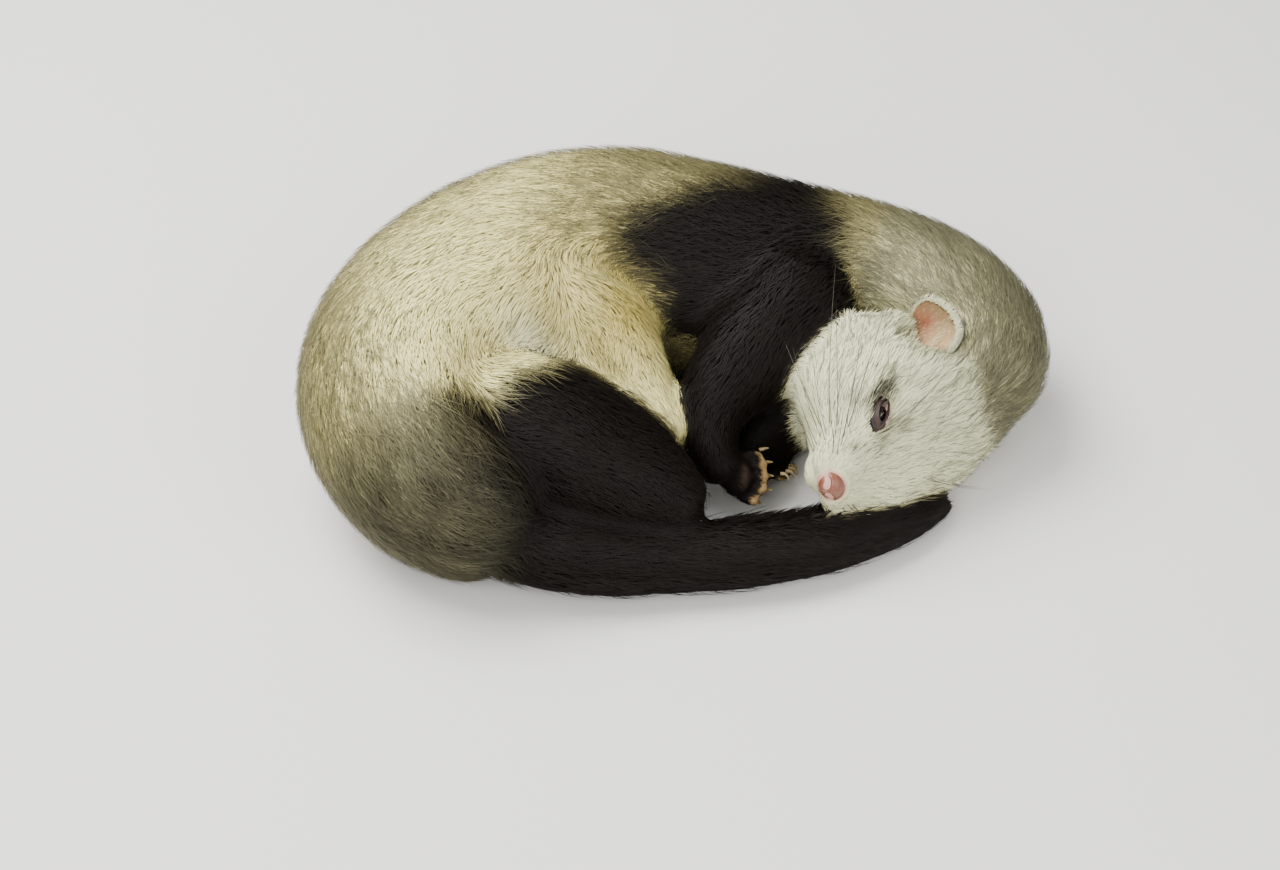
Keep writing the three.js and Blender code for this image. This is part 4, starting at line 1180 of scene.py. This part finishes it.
def lid_material(face):
    """Bare lids: dark and moist along the slit and the upper lid's fold, mauve-brown skin between."""
    material, tree = new_material("moist_eyelid_skin")
    rim = add_node(tree, "ShaderNodeAttribute", {"attribute_name": "rim"})
    place = add_node(tree, "ShaderNodeTexCoord")
    mottle = add_node(tree, "ShaderNodeTexNoise", {}, {"Vector": place.outputs["Object"], "Scale": 1 / (1.2 * MM), "Detail": 4.0})
    shade = add_node(tree, "ShaderNodeMix", {"data_type": "RGBA"}, {0: mottle.outputs["Fac"], 6: linear("#1a0e09"), 7: linear("#452c20")})
    colour = add_node(tree, "ShaderNodeMix", {"data_type": "RGBA"}, {0: rim.outputs["Fac"], 6: shade.outputs[2], 7: linear(face.lid)})
    rough = add_node(tree, "ShaderNodeMath", {"operation": "MULTIPLY_ADD"}, {0: rim.outputs["Fac"], 1: -0.2, 2: 0.6})
    bump = add_node(tree, "ShaderNodeBump", {}, {"Height": mottle.outputs["Fac"], "Strength": 0.4, "Distance": 0.2 * MM})
    shader = add_node(
        tree, "ShaderNodeBsdfPrincipled", {},
        {"Base Color": colour.outputs[2], "Roughness": rough.outputs[0], "Specular IOR Level": 0.35, "Normal": bump.outputs[0]},
    )
    finish_material(tree, shader)
    return material


class FERRET_OT_eyes(bpy.types.Operator):
    """Sleepy lids round each eye, and a wet dark finish on the eyes themselves"""

    bl_idname = "ferret.eyes"
    bl_label = "Eyes and lids"

    def execute(self, context):
        face = context.scene.ferret_face
        skin = bpy.data.objects["skin"].data
        points, faces, tree = bound_tree(skin)
        slit = face.slit / MM / 2
        made = []
        for side in (1, -1):
            deselect()
            bpy.ops.mesh.primitive_torus_add(major_segments=96, minor_segments=28, major_radius=1, minor_radius=0.25)
            lids = bpy.context.object
            ring = places(lids.data) * MM
            round_eye = np.arctan2(ring[:, 1], ring[:, 0])
            off = np.hypot(ring[:, 0], ring[:, 1]) - 1
            minor = np.arctan2(ring[:, 2], off)
            outward = (1 + np.cos(minor)) / 2  # 0 at the slit's edge, 1 under the coat
            under = np.sin(minor) < 0
            c, s = np.cos(round_eye), np.sin(round_eye)
            # The slit lies near the lower lid. The eye that the head rests on is shut
            open_by = slit if side > 0 else slit * 0.15
            inner = np.stack([3.5 * c + 0.4, open_by * s * np.abs(s) ** 0.3 - side * 1.25 + 0.4 * (1 - c * c)], 1)
            across = LID_WIDTH * np.where(s * side > 0, 1, 0.85) * (1 if side > 0 else 0.5)
            outer = np.stack([LID_LENGTH * c * (1 if side > 0 else 0.75), across * s], 1)
            flat = inner + (outer - inner) * (outward**1.1)[:, None]
            reach = (flat[:, 0] / 7.2) ** 2 + (flat[:, 1] / 5.6) ** 2
            dome = (EYE_RADIUS + (1.15 if side > 0 else 0.45)) * np.sqrt(np.maximum(1 - reach, 0.02))
            crease = 0.14 * np.sin(outward * 3.2 * math.pi + 0.6) * eased(0.05, 0.3, outward)
            lip = 0.28 * np.exp(-(((outward - 0.1) / 0.09) ** 2))
            height = dome + crease * (0.6 + 0.4 * np.sin(round_eye * 5)) + lip
            height = np.where(under, dome - 1.0 * np.abs(np.sin(minor)), height)
            local = np.stack([flat[:, 0], flat[:, 1], height], 1)
            world = local @ eye_axes(side) + EYE_AT[side] + SHIFT
            # The outer edge sinks into the skin round it
            sink = np.where(outward > 0.8)[0]
            for i in sink:
                place, normal, _, _ = tree.find_nearest(world[i].tolist())
                blend = float(eased(0.8, 1.0, outward[i]))
                target = np.array(place) - np.array(normal) * (0.25 + 0.5 * under[i])
                world[i] = world[i] * (1 - blend) + target * blend
            move_to(lids.data, world)
            lids.data.polygons.foreach_set("use_smooth", np.ones(len(lids.data.polygons), bool))
            upper = eased(-0.2, 0.5, s * side)
            fold = np.maximum(eased(0.3, 0.12, outward), eased(0.45, 0.62, outward) * eased(1.1, 0.9, outward))
            store(lids.data, "rim", np.clip(fold * upper + eased(0.55, 0.25, outward) * (1 - upper), 0, 1))
            made.append(lids)
        make_active(*made)
        bpy.ops.object.join()
        lids = bpy.context.object
        bpy.ops.object.mode_set(mode="EDIT")
        bpy.ops.mesh.select_all(action="SELECT")
        bpy.ops.mesh.normals_make_consistent(inside=False)
        bpy.ops.object.mode_set(mode="OBJECT")
        settle(lids, "eyelids", lid_material(face))
        eye, tree_nodes = new_material("wet_eye")
        # Nearly black through a clear wet cornea, which gives one sharp highlight
        place = add_node(tree_nodes, "ShaderNodeTexCoord")
        iris = add_node(tree_nodes, "ShaderNodeTexNoise", {}, {"Vector": place.outputs["Object"], "Scale": 1 / (2.0 * MM)})
        colour = add_node(
            tree_nodes, "ShaderNodeMix", {"data_type": "RGBA"}, {0: iris.outputs["Fac"], 6: linear("#050303"), 7: linear("#1c0e0a")}
        )
        shader = add_node(
            tree_nodes, "ShaderNodeBsdfPrincipled", {},
            {"Base Color": colour.outputs[2], "Roughness": 0.06, "IOR": 1.38, "Coat Weight": 0.6, "Coat Roughness": 0.03},
        )
        finish_material(tree_nodes, shader)
        for node in ("eye_right", "eye_left"):
            slots = frame["nodes"][node].material_slots
            for one in slots:
                one.material = eye
        return {"FINISHED"}


class FERRET_OT_ears(bpy.types.Operator):
    """Two rounded cups of thin skin, open and low in front, with a high rolled rim behind"""

    bl_idname = "ferret.ears"
    bl_label = "Ears"

    def execute(self, context):
        made = []
        for side in (1, -1):
            deselect()
            bpy.ops.mesh.primitive_uv_sphere_add(segments=72, ring_count=48, radius=1)
            ear = bpy.context.object
            bpy.ops.object.mode_set(mode="EDIT")
            bpy.ops.mesh.select_all(action="SELECT")
            bpy.ops.mesh.bisect(plane_co=(0, 0, 0.25), plane_no=(0, 0, 1), clear_outer=True)
            bpy.ops.object.mode_set(mode="OBJECT")
            x, y, z = (places(ear.data) * MM).T
            rim = eased(-0.5, 0.25, z)
            squared = 1 + 0.07 * np.sin(2 * np.arctan2(y, x)) ** 2 * (y > 0)
            local = np.stack([x * squared, y * squared, z], 1) * EAR_HALF
            # The rim stands highest behind, rolls in a little, and dips under the coat in front
            local[:, 2] += rim * (1.3 * eased(-0.1, 0.8, y) - 3.6 * eased(0.15, -0.9, y))
            local[:, :2] *= (1 - 0.07 * eased(-0.05, 0.25, z))[:, None]
            # Folds at the deep end and along the back wall
            local[:, 2] += 1.1 * np.exp(-(((x - 0.1) / 0.16) ** 2)) * eased(-0.2, -0.8, z) * eased(0.6, -0.2, y)
            pocket = np.exp(-(((x + 0.62) / 0.2) ** 2 + ((y + 0.05) / 0.3) ** 2)) * eased(0.0, -0.5, z)
            local[:, 2] -= 1.6 * pocket
            local *= EAR_PRESS[side]
            world = local @ ear_axes(side) + EAR_AT[side] + SHIFT
            world[:, 2] = np.maximum(world[:, 2], 0.9)
            move_to(ear.data, world)
            apply_modifier(ear, "SOLIDIFY", thickness=0.8 * MM, offset=-side)
            apply_modifier(ear, "SUBSURF", levels=1, render_levels=1)
            points = places(ear.data)
            points[:, 2] = np.maximum(points[:, 2], 0.05)
            move_to(ear.data, points)
            bpy.ops.object.mode_set(mode="EDIT")
            bpy.ops.mesh.select_all(action="SELECT")
            bpy.ops.mesh.normals_make_consistent(inside=False)
            bpy.ops.object.mode_set(mode="OBJECT")
            local = (points - EAR_AT[side] - SHIFT) @ ear_axes(side).T / EAR_HALF
            facing = (unit(point_normals(ear.data) @ ear_axes(side).T) * unit(local - [0, 0, 0.5])).sum(1)
            store(ear.data, "inner", averaged(eased(0.25, -0.35, facing), edge_ends(ear.data), 1))
            store(ear.data, "deep", np.exp(-(((local[:, 0] + 0.6) / 0.42) ** 2 + ((local[:, 1] + 0.1) / 0.55) ** 2)))
            ear.data.polygons.foreach_set("use_smooth", np.ones(len(ear.data.polygons), bool))
            made.append(ear)
        make_active(*made)
        bpy.ops.object.join()
        ears = bpy.context.object
        settle(ears, "ears", self.material(context))
        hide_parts("ear_right", "ear_left")
        return {"FINISHED"}

    def material(self, context):
        """Thin ear skin: blood-pink and bare inside, deepest at the bottom of the cup, pale outside."""
        face = context.scene.ferret_face
        material, tree = new_material("thin_ear_skin")
        inner = add_node(tree, "ShaderNodeAttribute", {"attribute_name": "inner"})
        deep = add_node(tree, "ShaderNodeAttribute", {"attribute_name": "deep"})
        place = add_node(tree, "ShaderNodeTexCoord")
        veins = add_node(tree, "ShaderNodeTexNoise", {}, {"Vector": place.outputs["Object"], "Scale": 1 / (3 * MM), "Detail": 5.0})
        bare = add_node(tree, "ShaderNodeMix", {"data_type": "RGBA"}, {0: veins.outputs["Fac"], 6: linear("#a3835c"), 7: linear("#c9aa80")})
        pink = add_node(tree, "ShaderNodeMix", {"data_type": "RGBA"}, {0: deep.outputs["Fac"], 6: bare.outputs[2], 7: linear("#b8775c")})
        colour = add_node(
            tree, "ShaderNodeMix", {"data_type": "RGBA"}, {0: inner.outputs["Fac"], 6: linear("#e6ddcb"), 7: pink.outputs[2]}
        )
        bump = add_node(tree, "ShaderNodeBump", {}, {"Height": veins.outputs["Fac"], "Strength": 0.3, "Distance": 0.2 * MM})
        shader = add_node(
            tree, "ShaderNodeBsdfPrincipled", {},
            {
                "Base Color": colour.outputs[2], "Roughness": 0.6, "Specular IOR Level": 0.3, "Subsurface Weight": 0.12,
                "Subsurface Radius": (1.0 * MM, 0.4 * MM, 0.25 * MM), "Subsurface Scale": 1.0, "Normal": bump.outputs[0],
            },
        )
        finish_material(tree, shader)
        return material


class FERRET_OT_ear_coat(bpy.types.Operator):
    """Short hair on the backs and rims of the ears, and sparse hairs inside them"""

    bl_idname = "ferret.ear_coat"
    bl_label = "Ear coat"

    def execute(self, context):
        settings = context.scene.ferret_coat
        material = bpy.data.materials["groomed_ferret_hair"]
        mesh = bpy.data.objects["ears"].data
        points, faces, _ = bound_tree(mesh)
        normals, inner = point_normals(mesh), fetch(mesh, "inner")
        right = np.linalg.norm(points - EAR_AT[1] - SHIFT, axis=1) < np.linalg.norm(points - EAR_AT[-1] - SHIFT, axis=1)
        axes = np.where(right[:, None, None], ear_axes(1)[None], ear_axes(-1)[None])
        middle = np.where(right[:, None], EAR_AT[1] + SHIFT, EAR_AT[-1] + SHIFT)
        local = np.einsum("nij,nj->ni", axes, points - middle) / EAR_HALF
        rim = eased(-0.12, 0.15, local[:, 2]) * eased(-0.45, 0.0, local[:, 1])
        density = np.where(inner > 0.5, 2.0 + 9 * rim, 14)
        rng = np.random.default_rng(settings.seed + 1)
        picked, weights = scattered(points, faces, density, rng)
        count = len(picked)

        def at_root(values):
            chosen = values[faces[picked]]
            return (chosen * (weights if values.ndim == 1 else weights[:, :, None])).sum(1)

        root, out, place, frill = at_root(points), unit(at_root(normals)), at_root(local), at_root(rim)
        inside = at_root(inner) > 0.5
        own = axes[faces[picked, 0]]
        # Hair on the back lies towards the rim, hair inside reaches from the deep end to the back wall
        outer_way = own[:, 2] * 0.8 + np.einsum("ni,nij->nj", place * [0.5, 0.8, 0], own)
        inner_way = own[:, 1] * 0.75 + own[:, 0] * 0.45 + own[:, 2] * 0.5
        way = np.where(inside[:, None], inner_way, outer_way)
        way = unit(unit(way - out * (way * out).sum(1, keepdims=True)) + rng.normal(size=(count, 3)) * 0.12)
        length = rng.uniform(1.5, 2.4, count)
        lift = np.where(inside, 0.25, 0.2) + 0.1 * frill
        spine = [root - out * 0.2]
        for share, rise in ((0.5, lift), (0.5, lift * 0.4)):
            spine.append(spine[-1] + unit(way + out * rise[:, None]) * (length * share)[:, None])
        dusky = rng.random(count) < np.where(inside, 0.0, 0.03)
        rows = {
            "spine": np.stack(spine, 1),
            "outward": np.stack([out, out, out], 1),
            "width": rng.uniform(0.11, 0.17, count),
            "chance": 0.5 + 0.5 * rng.random(count),
            "dark": np.zeros(count),
            "gold_and_shade": np.where(inside, 0.35 * (1 - frill), 0.0),
            "grizzle": np.where(dusky, 0.7, 0.0),
            "white": np.where(inside, 0.65 + 0.35 * frill, 1.0),
            "slot": "white_fur",
        }
        angle = np.arctan2(place[:, 1], place[:, 0]) / (2 * math.pi) + 0.5
        half = np.where(right[faces[picked, 0]], 0.0, 0.5)
        up = np.clip((place[:, 2] + 1) / 2, 0, 1)
        rows["unwrap"] = np.stack([half + 0.01 + 0.47 * angle, 0.02 + 0.95 * (up * 0.5 + np.where(inside, 0.5, 0))], 1)
        draw_tufts("coat_ears", rows, material)
        return {"FINISHED"}


def tapering_tube(course, radii, sides):
    """Points and triangles of one closed tapering tube along a course, its last point a tip."""
    tangents = unit(np.gradient(course, axis=0))
    first = unit(np.cross(tangents, [0.31, 0.21, 0.92]))
    second = np.cross(tangents, first)
    turn = np.arange(sides) / sides * 2 * math.pi
    ring = first[:, None] * np.cos(turn)[None, :, None] + second[:, None] * np.sin(turn)[None, :, None]
    body = (course[:, None] + ring * np.asarray(radii)[:, None, None])[:-1]
    points = np.concatenate([body.reshape(-1, 3), course[-1:], course[:1]])
    rows = len(course) - 1
    tip, foot = rows * sides, rows * sides + 1
    made = []
    for j in range(sides):
        k = (j + 1) % sides
        made.append((foot, k, j))
        made.append(((rows - 1) * sides + j, (rows - 1) * sides + k, tip))
        for i in range(rows - 1):
            a, b = i * sides, (i + 1) * sides
            made += [(a + j, a + k, b + k), (a + j, b + k, b + j)]
    return points, np.array(made)


def joined_tubes(name, tubes, material):
    """One piece of many tubes."""
    points, faces, start = [], [], 0
    for some_points, some_faces in tubes:
        points.append(some_points)
        faces.append(some_faces + start)
        start += len(some_points)
    return piece_from(name, np.concatenate(points), np.concatenate(faces), material)


class FERRET_OT_whiskers(bpy.types.Operator):
    """Long tapering whiskers from the pads beside the nose, with a few above the eyes"""

    bl_idname = "ferret.whiskers"
    bl_label = "Whiskers"

    def execute(self, context):
        face = context.scene.ferret_face
        longest = face.whisker_length / MM
        _, _, tree = bound_tree(bpy.data.objects["skin"].data)
        rng = np.random.default_rng(5)
        tubes = []
        for side in (1, -1):
            for row in range(4):
                for step in range(4):
                    root = on_head(-6.5 - 2.4 * step, -side * (6.5 + 0.9 * step), 1.8 - 1.7 * row) + SHIFT
                    length = longest * (0.3 + 0.17 * step) * rng.uniform(0.75, 1.05) * (1 if side > 0 else 0.5)
                    up = 0.35 - 0.3 * row + rng.normal() * 0.1
                    aim = from_head((-0.2 - 0.1 * step, -side * 1.0, up))
                    sag = from_head((-0.6, 0, -0.1)) + rng.normal(size=3) * 0.14
                    tubes.append(self.whisker(tree, root, aim, sag, length, 0.15))
            for step in range(3):
                root = on_head(-27 - 1.5 * step, -side * 9.5, 14) + SHIFT
                aim = from_head((-0.3, -side * 0.6, 0.7)) + rng.normal(size=3) * 0.1
                tubes.append(self.whisker(tree, root, aim, from_head((-1, 0, 0)), longest * 0.4, 0.11))
        material, node_tree = new_material("horn_clear_whisker")
        # Whiskers are near-black horn with dull brown stretches by turns, about 8 mm apart
        place = add_node(node_tree, "ShaderNodeTexCoord")
        tint = add_node(node_tree, "ShaderNodeTexNoise", {}, {"Vector": place.outputs["Object"], "Scale": 1 / (8 * MM)})
        colour = add_node(
            node_tree, "ShaderNodeMix", {"data_type": "RGBA"}, {0: tint.outputs["Fac"], 6: linear("#17120e"), 7: linear("#5c5344")}
        )
        shader = add_node(
            node_tree, "ShaderNodeBsdfPrincipled", {}, {"Base Color": colour.outputs[2], "Roughness": 0.35, "Specular IOR Level": 0.5}
        )
        finish_material(node_tree, shader)
        settle(joined_tubes("whiskers", tubes, material), "whiskers")
        return {"FINISHED"}

    def whisker(self, tree, root, aim, sag, length, radius):
        """One whisker from the skin nearest to its root, bending the way it sags."""
        place, normal, _, _ = tree.find_nearest(root.tolist())
        start = np.array(place) - np.array(normal) * 0.4
        t = np.linspace(0, 1, 11)[:, None]
        course = start + unit(aim) * (t * length) + sag * (t**2 * length * 0.35)
        course[:, 2] = np.maximum(course[:, 2], 0.4)
        return tapering_tube(course, np.interp(t[:, 0], (0, 0.5, 1), (radius, radius * 0.7, radius * 0.2)), 4)


class FERRET_OT_claws(bpy.types.Operator):
    """A curved claw on each of the twenty toes"""

    bl_idname = "ferret.claws"
    bl_label = "Claws"

    def execute(self, context):
        tubes = []
        for paw in PAWS.values():
            toe = paw["width"] * 0.135
            for number in range(5):
                reach, spread = toe_reach(paw, number)
                rows = (
                    (reach * 0.93, spread * 1.06, -toe * 0.45),
                    (reach + 0.6, spread * 1.1, -toe * 0.5),
                    (reach + 1.4, spread * 1.14, -toe * 0.2),
                    (reach + 2.1, spread * 1.17, toe * 0.4),
                )
                course = smooth_line([paw_place(paw, *row) for row in rows], 11) + SHIFT
                course[:, 2] = np.maximum(course[:, 2], 0.9)
                radii = np.interp(np.linspace(0, 1, 11), (0, 0.3, 0.8, 1), (0.6, 0.52, 0.26, 0.05))
                tubes.append(tapering_tube(course, radii, 10))
        material, tree = new_material("pale_claw_horn")
        # Claw horn is smooth and a little clear, with growth lines 0.5 mm apart
        place = add_node(tree, "ShaderNodeTexCoord")
        lines = add_node(tree, "ShaderNodeTexNoise", {}, {"Vector": place.outputs["Object"], "Scale": 1 / (0.5 * MM), "Detail": 2.0})
        colour = add_node(tree, "ShaderNodeMix", {"data_type": "RGBA"}, {0: lines.outputs["Fac"], 6: linear("#6d5836"), 7: linear("#b8a272")})
        shader = add_node(
            tree, "ShaderNodeBsdfPrincipled", {}, {"Base Color": colour.outputs[2], "Roughness": 0.32, "Specular IOR Level": 0.5}
        )
        finish_material(tree, shader)
        settle(joined_tubes("claws", tubes, material), "claws")
        return {"FINISHED"}


class FERRET_OT_stage(bpy.types.Operator):
    """A plain pale floor, soft lights and the camera at the photograph's angle"""

    bl_idname = "ferret.stage"
    bl_label = "Stage"

    def execute(self, context):
        settings = context.scene.ferret_stage
        deselect()
        bpy.ops.mesh.primitive_plane_add(size=6, location=(0, 0, 0))
        floor = bpy.context.object
        floor.name = "floor"
        material, tree = new_material("matt_studio_paper")
        shader = add_node(tree, "ShaderNodeBsdfPrincipled", {}, {"Base Color": linear(settings.floor), "Roughness": 0.9, "Specular IOR Level": 0.2})
        finish_material(tree, shader)
        floor.data.materials.append(material)
        target = np.array([SHIFT[0], SHIFT[1], 0]) * MM
        back = np.array([0, -math.sqrt(0.5), math.sqrt(0.5)])
        camera = bpy.data.objects.new("camera", bpy.data.cameras.new("camera"))
        camera.data.lens = settings.lens
        camera.data.sensor_width = 36
        camera.data.clip_start = 0.05
        camera.location = target + back * settings.distance
        camera.rotation_euler = Vector(-back).to_track_quat("-Z", "Y").to_euler()
        context.scene.collection.objects.link(camera)
        context.scene.camera = camera
        lamps = (
            ("key", (-0.35, 0.15, 0.8), 0.6, settings.key),
            ("fill", (0.55, -0.55, 0.55), 0.7, settings.key * 0.3),
            ("front", (-0.3, -0.7, 0.6), 0.6, settings.key * 0.4),
        )
        for name, place, size, power in lamps:
            lamp = bpy.data.lights.new(name, "AREA")
            lamp.energy, lamp.size = power, size
            holder = bpy.data.objects.new(name, lamp)
            holder.location = place
            holder.rotation_euler = (Vector((0, 0, 0.03)) - Vector(place)).to_track_quat("-Z", "Y").to_euler()
            context.scene.collection.objects.link(holder)
        world = bpy.data.worlds.new("soft_room")
        world.use_nodes = True
        world.node_tree.nodes["Background"].inputs["Color"].default_value = linear("#eef0f2")
        world.node_tree.nodes["Background"].inputs["Strength"].default_value = 0.6
        context.scene.world = world
        return {"FINISHED"}


class FERRET_PT_panel(bpy.types.Panel):
    """Lists the pieces of the ferret with their settings."""

    bl_idname = "FERRET_PT_panel"
    bl_label = "Sleeping ferret"
    bl_space_type = "VIEW_3D"
    bl_region_type = "UI"
    bl_category = "Ferret"

    def draw(self, context):
        column = self.layout.column()
        for group in GROUPS:
            settings = getattr(context.scene, group)
            for name in settings.__annotations__:
                column.prop(settings, name)
        for operator in OPERATORS:
            column.operator(operator.bl_idname)


GROUPS = {
    "ferret_skin": SkinSettings,
    "ferret_coat": CoatSettings,
    "ferret_face": FaceSettings,
    "ferret_stage": StageSettings,
}
OPERATORS = (
    FERRET_OT_skin,
    FERRET_OT_nose,
    FERRET_OT_eyes,
    FERRET_OT_ears,
    FERRET_OT_whiskers,
    FERRET_OT_claws,
    FERRET_OT_coat,
    FERRET_OT_ear_coat,
    FERRET_OT_stage,
)


def register():
    for name, group in GROUPS.items():
        bpy.utils.register_class(group)
        setattr(bpy.types.Scene, name, bpy.props.PointerProperty(type=group))
    for operator in OPERATORS:
        bpy.utils.register_class(operator)
    bpy.utils.register_class(FERRET_PT_panel)


def unregister():
    bpy.utils.unregister_class(FERRET_PT_panel)
    for operator in reversed(OPERATORS):
        bpy.utils.unregister_class(operator)
    for name, group in reversed(GROUPS.items()):
        delattr(bpy.types.Scene, name)
        bpy.utils.unregister_class(group)


def main():
    """Registers the settings, operators and panel, and builds every piece in order."""
    register()
    for operator in OPERATORS:
        group, name = operator.bl_idname.split(".")
        getattr(getattr(bpy.ops, group), name)()


if __name__ == "__main__":
    main()
